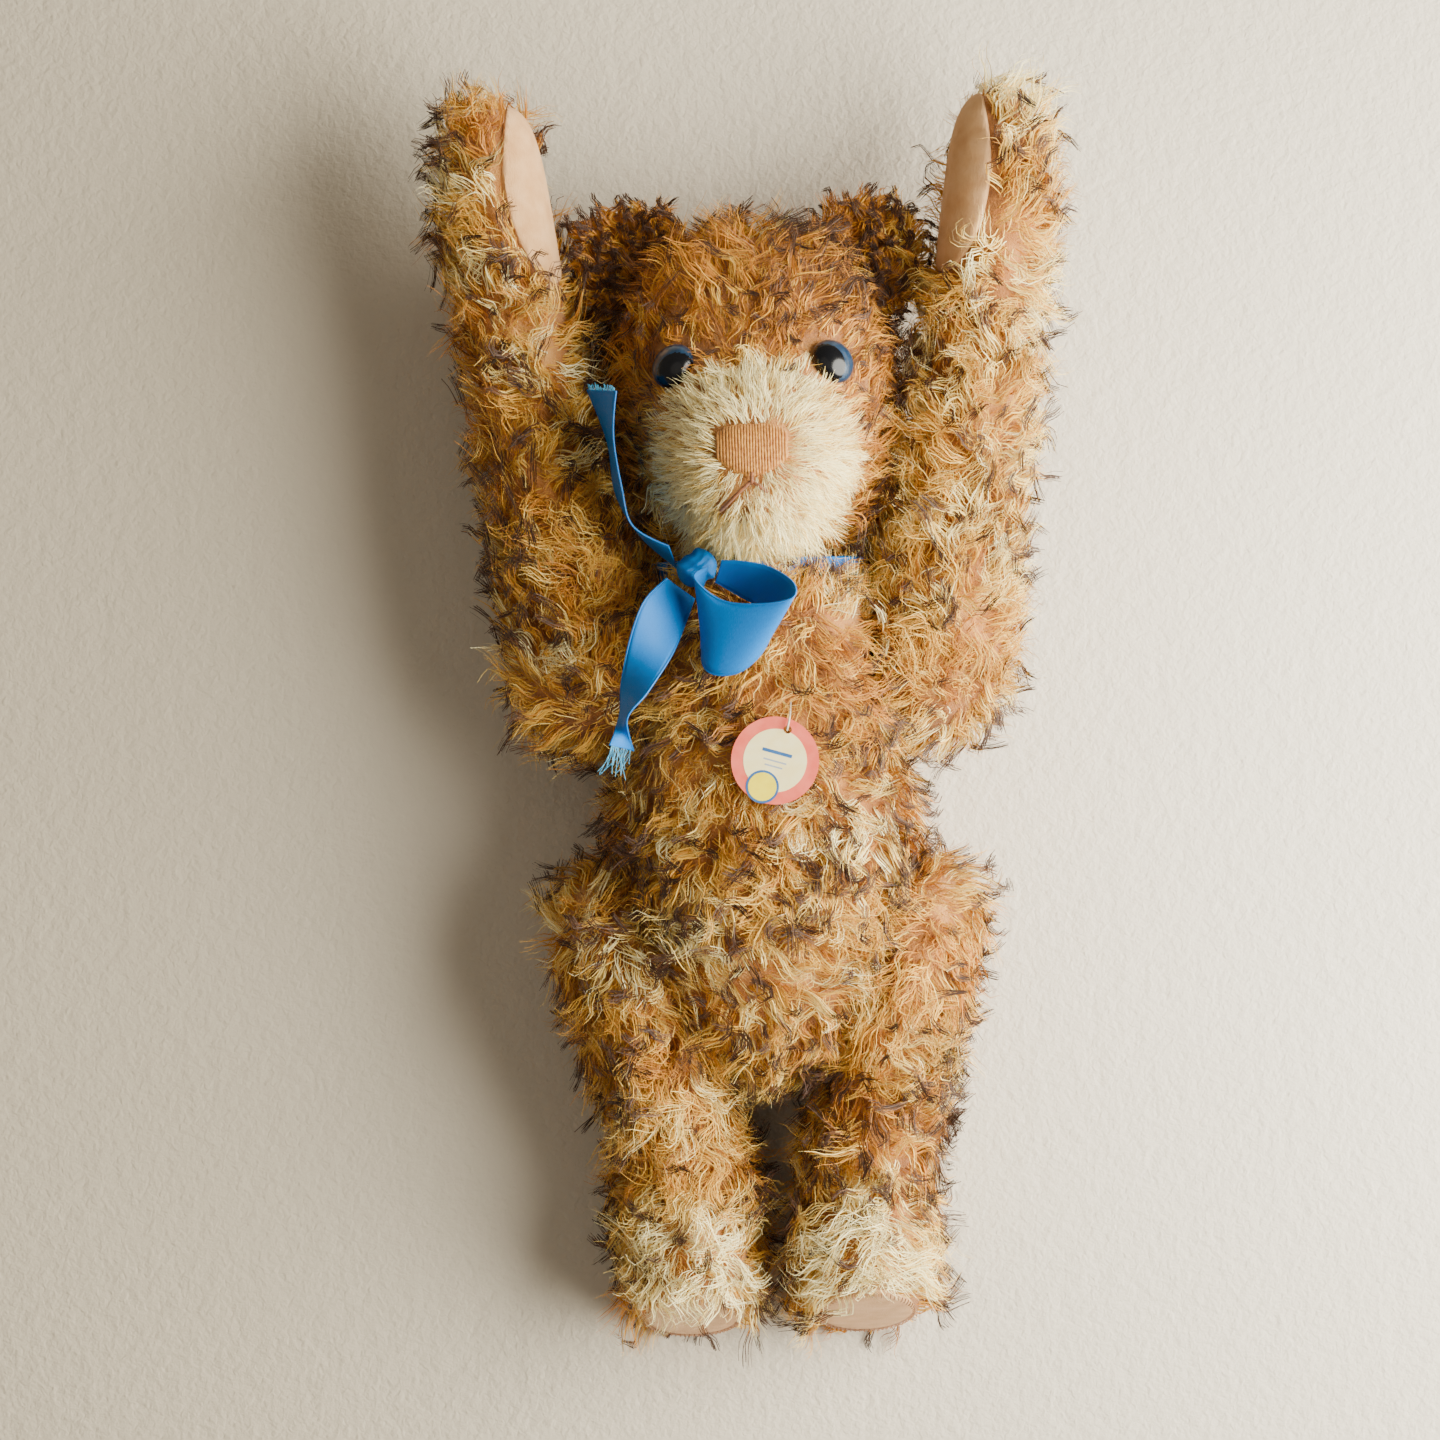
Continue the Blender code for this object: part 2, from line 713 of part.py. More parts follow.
def build_torso(joint_sets):
    form = torso_form()
    cover_of("torso_cover", form, mohair, [hole for hole, _, _ in joint_sets.values()])
    stuffing_of("torso_stuffing", form, wood_wool, [pocket for _, pocket, _ in joint_sets.values()])


def build_head(neck_set, axis):
    form = head_form()
    hole, _, pocket = neck_set
    keep, opening = muzzle_cutters()
    frame = eye_frame(form)
    sockets = []
    for side, sign, _ in both_sides():
        place = frame if sign > 0 else mirror_place(frame)
        sockets += eye_socket(f"{side}_eye", place)
        glass_eye(f"{side}_eye", place, axis)
    cover = cover_of("head_cover", form, mohair, [hole, opening, *sockets])
    panel = patch_of("muzzle_panel", form, short_pile, keep)
    filling = stuffing_of("head_stuffing", form, wood_wool, [pocket, *sockets])
    for obj in (cover, panel, filling):
        carry(obj, axis)
    swollen = add_object("head_clearance", form.copy())
    displace(swollen, GAP)
    clearance = add_cutter("head_clearance", applied(swollen))
    for side, sign, _ in both_sides():
        ear(f"{side}_ear", sign, mohair, clearance, axis)
    nose_and_mouth(form, axis)


def build_arms(joint_sets, axes):
    form, pad_cutters = arm_form(), paw_pad_cutters()
    for side, sign, _ in both_sides():
        shape = side_form(form, side, sign)
        keep, opening = (copy_cutter(cutter, side, sign) for cutter in pad_cutters)
        pad = patch_of(f"{side}_paw_pad", shape, felt, keep)
        carry(pad, axes[f"{side}_shoulder"])
        build_limb(side, "arm", "shoulder", shape, opening, joint_sets, axes)


def build_legs(joint_sets, axes):
    form, openings = leg_form(), foot_pads(axes)
    for side, sign, _ in both_sides():
        build_limb(side, "leg", "hip", side_form(form, side, sign), openings[side], joint_sets, axes)


def build_limb(side, word, joint, shape, pad_opening, joint_sets, axes):
    hole, _, pocket = joint_sets[f"{side}_{joint}"]
    cover = cover_of(f"{side}_{word}_cover", shape, mohair, [hole, pad_opening])
    filling = stuffing_of(f"{side}_{word}_stuffing", shape, wood_wool, [pocket])
    for obj in (cover, filling):
        carry(obj, axes[f"{side}_{joint}"])


def build_joints():
    """Every joint's cutters and its moving empty, by the joint's name, with the hardware in place."""
    frames = {"neck": (joint_frame(Vector((0, NECK_Y, NECK_Z)), TO_HEAD), "neck", "head")}
    for side, _, mirror in both_sides():
        for joint, word, point, normal in (
            ("shoulder", "arm", SHOULDER, SHOULDER_NORMAL),
            ("hip", "leg", HIP, HIP_NORMAL),
        ):
            frames[f"{side}_{joint}"] = (joint_frame(mirror(point), mirror(normal)), joint, word)
    sets, axes = {}, {}
    for name, (frame, joint, word) in frames.items():
        sets[name] = joint_cutters(name, frame, DISC_RADIUS[joint])
        axes[name] = joint_empty(f"{name}_axis", frame)
        joint_hardware(name, joint_empty(f"{name}_seat", frame), axes[name], DISC_RADIUS[joint], word)
    return sets, axes


clear_scene()
bear = new_collection("jointed teddy bear")
cutters = new_collection("cutters", hidden=True)

mohair = material("mohair", (0.56, 0.33, 0.12), 0.9)
short_pile = material("short_pile", (0.85, 0.72, 0.50), 0.9)
felt = material("felt", (0.78, 0.60, 0.44), 0.95)
wood_wool = material("wood_wool", (0.78, 0.66, 0.42), 0.9)
hardboard = material("hardboard", (0.30, 0.19, 0.10), 0.7)
steel = material("steel", (0.62, 0.62, 0.64), 0.35, 1.0)
glass = material("glass", (0.01, 0.01, 0.015), 0.05)
thread = material("thread", (0.66, 0.32, 0.20), 0.7)
cord = material("cord", (0.85, 0.80, 0.70), 0.8)
satin = material("satin", (0.0, 0.20, 0.55), 0.35)
card = material("card", (0.90, 0.80, 0.58), 0.6)

joint_sets, joint_axes = build_joints()
build_torso(joint_sets)
build_head(joint_sets["neck"], joint_axes["neck"])
build_arms(joint_sets, joint_axes)
build_legs(joint_sets, joint_axes)
neck_band()
ribbon_knot()
bow_loop()
lower_tail()
upper_tail()
chest_tag()
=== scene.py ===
import math

import bmesh
import bpy
import numpy as np
from mathutils import Matrix, Vector
from mathutils.bvhtree import BVHTree


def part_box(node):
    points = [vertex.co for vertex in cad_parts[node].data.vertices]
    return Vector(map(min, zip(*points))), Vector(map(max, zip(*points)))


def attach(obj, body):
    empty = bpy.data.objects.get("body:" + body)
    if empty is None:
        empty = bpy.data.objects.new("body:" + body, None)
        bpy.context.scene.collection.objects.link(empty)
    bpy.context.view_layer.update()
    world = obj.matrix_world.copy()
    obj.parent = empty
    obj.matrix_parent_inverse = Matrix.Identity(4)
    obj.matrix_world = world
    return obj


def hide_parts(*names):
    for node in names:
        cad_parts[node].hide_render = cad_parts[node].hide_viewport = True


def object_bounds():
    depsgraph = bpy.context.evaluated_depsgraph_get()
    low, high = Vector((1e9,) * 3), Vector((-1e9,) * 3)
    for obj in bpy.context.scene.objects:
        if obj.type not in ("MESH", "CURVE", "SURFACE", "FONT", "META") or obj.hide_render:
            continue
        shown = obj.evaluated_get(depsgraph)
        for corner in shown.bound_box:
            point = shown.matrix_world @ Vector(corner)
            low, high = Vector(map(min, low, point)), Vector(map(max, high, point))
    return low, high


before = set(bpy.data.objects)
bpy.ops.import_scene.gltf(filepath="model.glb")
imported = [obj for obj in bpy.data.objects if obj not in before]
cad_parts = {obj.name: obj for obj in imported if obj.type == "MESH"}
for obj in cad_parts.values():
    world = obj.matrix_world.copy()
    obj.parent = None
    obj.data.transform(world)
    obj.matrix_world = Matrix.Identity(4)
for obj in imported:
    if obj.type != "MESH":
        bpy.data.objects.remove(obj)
cad_low, cad_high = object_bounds()
cad_middle = (cad_low + cad_high) / 2

MM = 0.001

# The forms of part.py: where each ring stands, its centre and half size, in millimetres.
NECK_Y, NECK_Z = 48.0, 44.0
SHOULDER = Vector((34.0, 22.5, 45.0))
HIP = Vector((31.0, -70.0, 41.0))
HIP_TURN, SOLE_TILT = math.radians(17.0), math.radians(20.0)
HEEL_Y, PAW_TIP_Y = -192.5, 192.5
PLUMP, RING_SIDES, PRESS_GAP = 1.081, 8, 0.6
TORSO_RINGS = [
    (-105, 0, 42, 8, 9, 0),
    (-99, 0, 42, 21, 21, 0),
    (-84, 0, 43, 37, 36, 0),
    (-58, 0, 44, 48, 46, 0),
    (-26, 0, 44, 48.5, 48, 0),
    (6, 0, 44, 45, 45, 0),
    (34, 0, 44, 41.5, 40, 0),
    (47, 0, 44, 32, 32, 0),
    (55, 0, 44, 20, 20, 0),
]
HEAD_RINGS = [
    (-1, 0, 103, 20, 26, 0),
    (8, 0, 102, 32, 43, 0),
    (27, 0, 98, 39.5, 58, 0),
    (50, 0, 97, 40.5, 60, 0),
    (70, 0, 98.5, 36, 49, 0),
    (84, 0, 90, 29.5, 34, 0),
    (96, 0, 82, 22.5, 24.5, 0),
    (109, 0, 79, 17, 18.5, 0),
    (116, 0, 78.5, 9, 10, 0),
]
ARM_RINGS = [
    (-3, 51, 45, 7, 8, 0),
    (2, 50.5, 45, 17, 18, 0),
    (13, 50, 45, 25, 24, 0),
    (36, 52, 45.5, 25, 24, 0),
    (66, 61, 46, 18, 20, 0),
    (110, 69, 47.5, 15.5, 18, 0),
    (155, 75, 50, 15.5, 19, 0),
    (183, 77, 52, 14, 17, 0),
    (194, 77.5, 53, 8, 10, 0),
]
LEG_RINGS = [
    (-198, 27, 27, 15, 25, 20),
    (-178, 27, 31.5, 19.5, 34, 20),
    (-162, 27, 29, 18.5, 28, 12),
    (-144, 27, 26, 18, 20.5, 2),
    (-118, 29.5, 32, 18, 24, 0),
    (-90, 36, 38.5, 20.5, 31.5, 0),
    (-62, 44, 41, 20.5, 31.5, 0),
    (-49, 49, 41, 14.5, 21, 0),
    (-43, 50.5, 41, 6, 9, 0),
]
HEAD_CROWN = 0.75
EAR_RADIUS = 16.5
EAR_PLACE = Vector((36.0, 145.0, 44.0))
SIDES = (("left", 1.0), ("right", -1.0))
HIP_NORMAL = Vector((math.cos(HIP_TURN), -math.sin(HIP_TURN), 0))
SOLE_NORMAL = Vector((0, -math.cos(SOLE_TILT), math.sin(SOLE_TILT)))


# ---------------------------------------------------------------- camera, light and floor


def add_camera():
    data = bpy.data.cameras.new("camera")
    data.sensor_width = 36.0
    data.lens = 102.0
    camera = bpy.data.objects.new("camera", data)
    bpy.context.scene.collection.objects.link(camera)
    camera.location = cad_middle + Vector((-12.9, 4.0, 1241.0)) * MM
    camera.rotation_euler = (0, 0, -math.radians(1.7))
    bpy.context.scene.camera = camera


def add_area_light(name, place, size, watts, colour, target=(0, 0, 0.04)):
    data = bpy.data.lights.new(name, "AREA")
    data.shape = "DISK"
    data.size = size
    data.energy = watts
    data.color = colour
    light = bpy.data.objects.new(name, data)
    bpy.context.scene.collection.objects.link(light)
    light.location = place
    light.rotation_euler = (Vector(target) - Vector(place)).to_track_quat("-Z", "Y").to_euler()


def add_world():
    world = bpy.data.worlds.new("world")
    world.use_nodes = True
    background = world.node_tree.nodes["Background"]
    background.inputs["Color"].default_value = (1.0, 0.90, 0.76, 1)
    background.inputs["Strength"].default_value = 0.26
    bpy.context.scene.world = world


# ---------------------------------------------------------------- materials


def linear(*srgb):
    """An sRGB colour of 0 to 255 in the linear values that shaders take."""
    values = [v / 255 for v in srgb]
    return (*(v / 12.92 if v <= 0.04045 else ((v + 0.055) / 1.055) ** 2.4 for v in values), 1.0)


def shader(name, colour, roughness, **sockets):
    """A Principled material. sockets are its other inputs, with _ for a space."""
    material = bpy.data.materials.new(name)
    material.use_nodes = True
    node = material.node_tree.nodes["Principled BSDF"]
    node.inputs["Base Color"].default_value = colour
    node.inputs["Roughness"].default_value = roughness
    for socket, value in sockets.items():
        node.inputs[socket.replace("_", " ")].default_value = value
    return material


class Graph:
    """Adds nodes to one material."""

    def __init__(self, material):
        self.tree = material.node_tree
        self.shader = self.tree.nodes["Principled BSDF"]

    def node(self, kind, values=(), **settings):
        node = self.tree.nodes.new(kind)
        for key, value in settings.items():
            setattr(node, key, value)
        for socket, value in dict(values).items():
            if isinstance(value, bpy.types.NodeSocket):
                self.tree.links.new(value, node.inputs[socket])
            else:
                node.inputs[socket].default_value = value
        return node

    def place(self):
        return self.node("ShaderNodeTexCoord").outputs["Object"]

    def noise(self, scale, detail=4.0, vector=None, distortion=0.0):
        values = {"Scale": scale, "Detail": detail, "Distortion": distortion, "Vector": vector or self.place()}
        return self.node("ShaderNodeTexNoise", values).outputs["Fac"]

    def stretched(self, scale, vector=None):
        values = {"Vector": vector or self.place(), "Scale": scale}
        return self.node("ShaderNodeMapping", values).outputs["Vector"]

    def ramp(self, factor, stops):
        node = self.node("ShaderNodeValToRGB", {"Fac": factor})
        ramp = node.color_ramp
        while len(ramp.elements) < len(stops):
            ramp.elements.new(0.5)
        for element, (at, colour) in zip(ramp.elements, stops):
            element.position, element.color = at, colour
        return node.outputs["Color"]

    def colour(self, factor, *stops):
        self.tree.links.new(self.ramp(factor, stops), self.shader.inputs["Base Color"])

    def rough(self, factor, low, high):
        values = {"Value": factor, "To Min": low, "To Max": high}
        spread = self.node("ShaderNodeMapRange", values)
        self.tree.links.new(spread.outputs["Result"], self.shader.inputs["Roughness"])

    def bump(self, height, distance, strength=1.0, below=None):
        values = {"Height": height, "Distance": distance, "Strength": strength}
        if below is not None:
            values["Normal"] = below
        normal = self.node("ShaderNodeBump", values).outputs["Normal"]
        self.tree.links.new(normal, self.shader.inputs["Normal"])
        return normal


HAIR = {
    "amber_deep": (142, 86, 30),
    "amber": (202, 132, 44),
    "gold": (222, 168, 66),
    "straw": (238, 206, 118),
    "cream": (255, 242, 184),
    "tip_brown": (112, 72, 40),
    "tip_dark": (70, 44, 28),
}
HAIR_NAMES = list(HAIR)


def hair_materials():
    made = []
    for name, colour in HAIR.items():
        made.append(
            shader(f"mohair_{name}", linear(*colour), 0.5, Specular_IOR_Level=0.3, Sheen_Weight=0.1)
        )
    return made


def underfur_material(name, dark, middle, light):
    material = shader(name, linear(*middle), 0.95, Sheen_Weight=0.2)
    graph = Graph(material)
    broad = graph.noise(70.0, 3.0)
    graph.colour(broad, (0.3, linear(*dark)), (0.5, linear(*middle)), (0.72, linear(*light)))
    fine = graph.noise(1400.0, 6.0, distortion=0.6)
    graph.bump(fine, 0.0008, 0.9)
    return material


def felt_material():
    material = shader("felt", linear(212, 164, 112), 0.95, Sheen_Weight=0.1)
    graph = Graph(material)
    mottled = graph.noise(160.0, 5.0)
    graph.colour(mottled, (0.3, linear(200, 150, 98)), (0.5, linear(212, 164, 112)), (0.75, linear(222, 178, 128)))
    fibres = graph.noise(1500.0, 8.0, graph.stretched((1.0, 0.35, 1.0)), 1.4)
    below = graph.bump(fibres, 0.00035, 0.7)
    graph.bump(mottled, 0.0006, 0.3, below)
    return material


def satin_material():
    material = shader("satin", linear(0, 120, 204), 0.42, Specular_IOR_Level=0.25)
    graph = Graph(material)
    coord = graph.node("ShaderNodeTexCoord").outputs["UV"]
    threads = graph.noise(90.0, 2.0, graph.stretched((1.0, 14.0, 1.0), coord))
    graph.colour(threads, (0.35, linear(0, 106, 188)), (0.6, linear(0, 124, 210)), (0.8, linear(2, 136, 220)))
    graph.rough(threads, 0.36, 0.5)
    ribs = graph.node("ShaderNodeTexWave", {"Vector": coord, "Scale": 190.0}, bands_direction="X").outputs["Fac"]
    graph.bump(ribs, 0.00005, 0.35)
    return material


def thread_material(name, dark, light, roughness=0.55):
    material = shader(name, linear(*light), roughness, Specular_IOR_Level=0.4, Sheen_Weight=0.3)
    graph = Graph(material)
    ply = graph.noise(900.0, 3.0)
    graph.colour(ply, (0.35, linear(*dark)), (0.65, linear(*light)))
    graph.bump(ply, 0.0002, 0.5)
    return material


def wood_wool_material():
    material = shader("wood_wool", linear(214, 186, 132), 0.85)
    graph = Graph(material)
    strands = graph.noise(260.0, 6.0, graph.stretched((1.0, 0.2, 1.0)), 3.0)
    graph.colour(strands, (0.3, linear(150, 116, 66)), (0.55, linear(214, 186, 132)), (0.8, linear(236, 216, 170)))
    graph.bump(strands, 0.001, 0.9)
    return material


def hardboard_material():
    material = shader("hardboard", linear(112, 80, 50), 0.65)
    graph = Graph(material)
    fibres = graph.noise(700.0, 8.0, distortion=0.8)
    graph.colour(fibres, (0.3, linear(84, 58, 36)), (0.7, linear(140, 104, 70)))
    graph.rough(fibres, 0.55, 0.8)
    graph.bump(fibres, 0.0001, 0.5)
    return material


def steel_material():
    material = shader("steel", linear(178, 178, 182), 0.34, Metallic=1.0)
    graph = Graph(material)
    drawn = graph.noise(1200.0, 4.0)
    graph.rough(drawn, 0.25, 0.5)
    graph.bump(drawn, 0.00003, 0.4)
    return material


def floor_material():
    material = shader("plaster", linear(226, 217, 202), 0.9)
    graph = Graph(material)
    coord = graph.node("ShaderNodeTexCoord").outputs["Object"]
    away = graph.node("ShaderNodeVectorMath", {0: coord, 1: (0.25, -0.02, 0.0)}, operation="DISTANCE").outputs["Value"]
    graph.colour(away, (0.1, linear(231, 223, 208)), (0.45, linear(204, 192, 170)))
    grain = graph.noise(520.0, 5.0, distortion=0.4)
    below = graph.bump(grain, 0.0009, 0.55)
    lumps = graph.noise(170.0, 3.0)
    graph.bump(lumps, 0.0012, 0.5, below)
    return material


# ---------------------------------------------------------------- mesh helpers


def link(name, mesh, *materials):
    obj = bpy.data.objects.new(name, mesh)
    bpy.context.scene.collection.objects.link(obj)
    for material in materials:
        mesh.materials.append(material)
    return obj


def mesh_of(name, points, faces):
    mesh = bpy.data.meshes.new(name)
    mesh.from_pydata([tuple(p) for p in points], [], [tuple(f) for f in faces])
    mesh.update()
    return mesh


def quads_between(rows, columns, first=0, wrapped=True):
    """The faces of a grid of points listed row by row."""
    faces = []
    for row in range(rows - 1):
        for k in range(columns if wrapped else columns - 1):
            a, b = first + row * columns + k, first + row * columns + (k + 1) % columns
            faces.append((a, b, b + columns, a + columns))
    return faces


def ball(name, sides, rows, radius=1.0):
    """A sphere about Z. Blender's own has its points in another order at each run, which moves the fur."""
    points = [(0, 0, radius)]
    for row in range(1, rows):
        tilt = math.pi * row / rows
        for k in range(sides):
            angle = 2 * math.pi * k / sides
            out = radius * math.sin(tilt)
            points.append((out * math.cos(angle), out * math.sin(angle), radius * math.cos(tilt)))
    points.append((0, 0, -radius))
    last = len(points) - 1
    faces = [(0, 1 + k, 1 + (k + 1) % sides) for k in range(sides)]
    faces += [(a, d, c, b) for a, b, c, d in quads_between(rows - 1, sides, first=1)]
    faces += [(last, last - sides + (k + 1) % sides, last - sides + k) for k in range(sides)]
    return mesh_of(name, points, faces)


def smooth(mesh):
    mesh.polygons.foreach_set("use_smooth", np.ones(len(mesh.polygons), bool))
    return mesh


def applied(obj):
    """The object's mesh with its modifiers applied. The object is removed."""
    graph = bpy.context.evaluated_depsgraph_get()
    mesh = bpy.data.meshes.new_from_object(obj.evaluated_get(graph))
    bpy.data.objects.remove(obj)
    return mesh


def subdivided(mesh, levels):
    obj = link("subdividing", mesh)
    modifier = obj.modifiers.new("round", "SUBSURF")
    modifier.levels = modifier.render_levels = levels
    return applied(obj)


def press(mesh, planes):
    for point, normal, radius, relief in planes:
        for vertex in mesh.vertices:
            offset = vertex.co - point * MM
            height = offset.dot(normal)
            spread = (offset - height * normal).length
            limit = relief * max(0.0, spread - radius * MM)
            if height > limit:
                vertex.co -= (height - limit) * normal


def stuffed_form(name, rings, along, planes, crown=0.0):
    """The outside of one stuffed piece, as in the CAD, and rounder between its points."""
    bm = bmesh.new()
    loops = []
    for at, centre_x, centre_v, half_x, half_v, lean in rings:
        loop = []
        for i in range(RING_SIDES):
            angle = 2 * math.pi * (i + 0.5) / RING_SIDES
            wide = 1 + crown * max(0.0, math.sin(angle)) ** 3
            x = centre_x + half_x * PLUMP * wide * math.cos(angle)
            v = half_v * PLUMP * math.sin(angle)
            place = at + v * math.tan(math.radians(lean))
            corner = (x, place, centre_v + v) if along == "Y" else (x, centre_v + v, place)
            loop.append(bm.verts.new(Vector(corner) * MM))
        loops.append(loop)
    for near, far in zip(loops, loops[1:]):
        for i in range(RING_SIDES):
            j = (i + 1) % RING_SIDES
            bm.faces.new((near[i], near[j], far[j], far[i]))
    bm.faces.new(loops[0])
    bm.faces.new(loops[-1])
    bmesh.ops.recalc_face_normals(bm, faces=bm.faces)
    mesh = bpy.data.meshes.new(name)
    bm.to_mesh(mesh)
    bm.free()
    mesh = subdivided(mesh, 1)
    press(mesh, planes)
    mesh = subdivided(mesh, 2)
    press(mesh, planes)
    mesh.name = name
    return smooth(mesh)


def mirrored(mesh, name):
    copy = mesh.copy()
    copy.name = name
    copy.transform(Matrix.Scale(-1, 4, (1, 0, 0)))
    copy.flip_normals()
    return copy


def flipped(vector):
    return Vector((-vector.x, vector.y, vector.z))


def all_forms():
    down, to_head = Vector((0, 0, -1)), Vector((0, 1, 0))
    floor = (Vector((0, 0, 0)), down, 1.0, 0.0)
    seats = []
    for side in (Vector, flipped):
        seats.append((side(SHOULDER), side(Vector((1, 0, 0))), 31, 0.8))
        seats.append((side(HIP), side(HIP_NORMAL), 35, 0.8))
    neck = Vector((0, NECK_Y, NECK_Z))
    forms = {
        "torso": stuffed_form("torso_form", TORSO_RINGS, "Y", [(neck, to_head, 1, 0), floor, *seats]),
        "head": stuffed_form(
            "head_form", HEAD_RINGS, "Z", [(neck + PRESS_GAP * to_head, -to_head, 1, 0), floor], HEAD_CROWN
        ),
    }
    x_axis = Vector((1, 0, 0))
    arm_planes = [(SHOULDER + PRESS_GAP * x_axis, -x_axis, 1, 0), (Vector((0, PAW_TIP_Y, 0)), to_head, 1, 0)]
    leg_planes = [(HIP + PRESS_GAP * HIP_NORMAL, -HIP_NORMAL, 1, 0), (Vector((0, HEEL_Y, 0)), SOLE_NORMAL, 1, 0), floor]
    forms["left_arm"] = stuffed_form("left_arm_form", ARM_RINGS, "Y", arm_planes)
    forms["left_leg"] = stuffed_form("left_leg_form", LEG_RINGS, "Y", leg_planes)
    forms["right_arm"] = mirrored(forms["left_arm"], "right_arm_form")
    forms["right_leg"] = mirrored(forms["left_leg"], "right_leg_form")
    return forms


def tree_of(mesh):
    bm = bmesh.new()
    bm.from_mesh(mesh)
    tree = BVHTree.FromBMesh(bm)
    bm.free()
    return tree


def ray_down(tree, x, y):
    """Where a ray from above meets a form, and the normal there. x and y are in millimetres."""
    point, normal, _, _ = tree.ray_cast(Vector((x * MM, y * MM, 0.3)), Vector((0, 0, -1)))
    return point, normal


def catmull_rom(stations, steps):
    """Points along a smooth curve through the stations, each a flat list of numbers."""
    rows = np.array(stations, float)
    last = len(rows) - 1
    at = np.linspace(0, last, steps + 1)
    i = np.minimum(at.astype(int), last - 1)
    t = (at - i)[:, None]
    a, b, c, d = (rows[np.clip(i + j, 0, last)] for j in (-1, 0, 1, 2))
    return 0.5 * (2 * b + (c - a) * t + (2 * a - 5 * b + 4 * c - d) * t**2 + (3 * b - a - 3 * c + d) * t**3)


def tube(name, routes, radius, material, resolution=2):
    """Round threads along lists of points, as one curve object."""
    curve = bpy.data.curves.new(name, "CURVE")
    curve.dimensions = "3D"
    curve.bevel_depth = radius
    curve.bevel_resolution = resolution
    curve.use_fill_caps = True
    for route in routes:
        spline = curve.splines.new("POLY")
        spline.points.add(len(route) - 1)
        for point, place in zip(spline.points, route):
            point.co = (*place, 1)
    obj = bpy.data.objects.new(name, curve)
    bpy.context.scene.collection.objects.link(obj)
    curve.materials.append(material)
    return obj


def frame_at(point, normal):
    turn = Vector(normal).to_track_quat("Z", "Y").to_matrix().to_4x4()
    return Matrix.Translation(point) @ turn


def mirror_place(place):
    flip = Matrix.Scale(-1, 4, (1, 0, 0))
    return flip @ place @ flip


def turned(name, profile, sides, *materials):
    """A form of revolution about Z from a profile of (radius, height), closed where the radius is 0."""
    points, faces = [], []
    for radius, height in profile:
        for k in range(sides):
            angle = 2 * math.pi * k / sides
            points.append((radius * math.cos(angle), radius * math.sin(angle), height))
    for row in range(len(profile) - 1):
        for k in range(sides):
            a, b = row * sides + k, row * sides + (k + 1) % sides
            faces.append((a, b, b + sides, a + sides))
    bm = bmesh.new()
    verts = [bm.verts.new(p) for p in points]
    for face in faces:
        bm.faces.new([verts[i] for i in face])
    bmesh.ops.remove_doubles(bm, verts=bm.verts, dist=1e-6)
    bmesh.ops.holes_fill(bm, edges=bm.edges, sides=0)
    bmesh.ops.recalc_face_normals(bm, faces=bm.faces)
    mesh = bpy.data.meshes.new(name)
    bm.to_mesh(mesh)
    bm.free()
    return link(name, smooth(mesh), *materials)


# ---------------------------------------------------------------- fur


def unit(vectors):
    return vectors / np.maximum(np.linalg.norm(vectors, axis=-1, keepdims=True), 1e-12)


def swirl(points, seed, wavelength, octaves=2):
    """A smooth random vector at each point."""
    rng = np.random.default_rng(seed)
    total = np.zeros_like(points)
    for octave in range(octaves):
        for _ in range(5):
            wave = unit(rng.normal(size=3)) * 2 * math.pi / (wavelength * 0.55**octave)
            lean = rng.normal(size=3)
            total += np.sin(points @ wave + rng.uniform(0, 2 * math.pi))[:, None] * lean * 0.6**octave
    return total / 2.2


def scatter(mesh, count, rng):
    """Random points on a mesh with their smooth normals, in metres."""
    mesh.calc_loop_triangles()
    corners = np.empty(len(mesh.loop_triangles) * 3, np.int32)
    mesh.loop_triangles.foreach_get("vertices", corners)
    corners = corners.reshape(-1, 3)
    co = np.empty(len(mesh.vertices) * 3)
    mesh.vertices.foreach_get("co", co)
    no = np.empty(len(mesh.vertices) * 3)
    mesh.vertices.foreach_get("normal", no)
    co, no = co.reshape(-1, 3)[corners], no.reshape(-1, 3)[corners]
    area = np.linalg.norm(np.cross(co[:, 1] - co[:, 0], co[:, 2] - co[:, 0]), axis=1)
    face = rng.choice(len(area), count, p=area / area.sum())
    u, v = rng.random(count), rng.random(count)
    u, v = np.where(u + v > 1, 1 - u, u), np.where(u + v > 1, 1 - v, v)
    weights = np.stack([1 - u - v, u, v], 1)[:, :, None]
    return (co[face] * weights).sum(1), unit((no[face] * weights).sum(1))


def evenly(points, normals, count):
    """About count of the points, none of them much closer together than the rest."""
    cells = {}
    kept = []
    span = np.ptp(points, axis=0)
    area = 2 * (span[0] * span[1] + span[1] * span[2] + span[0] * span[2]) * 0.62
    reach = 0.74 * math.sqrt(area / max(count, 1))
    keys = np.floor(points / reach).astype(int)
    for number, (point, key) in enumerate(zip(points.tolist(), keys.tolist())):
        near = (
            other
            for dx in (-1, 0, 1)
            for dy in (-1, 0, 1)
            for dz in (-1, 0, 1)
            for other in cells.get((key[0] + dx, key[1] + dy, key[2] + dz), ())
        )
        if all(math.dist(point, other) > reach for other in near):
            cells.setdefault(tuple(key), []).append(point)
            kept.append(number)
            if len(kept) == count:
                break
    return points[kept], normals[kept]


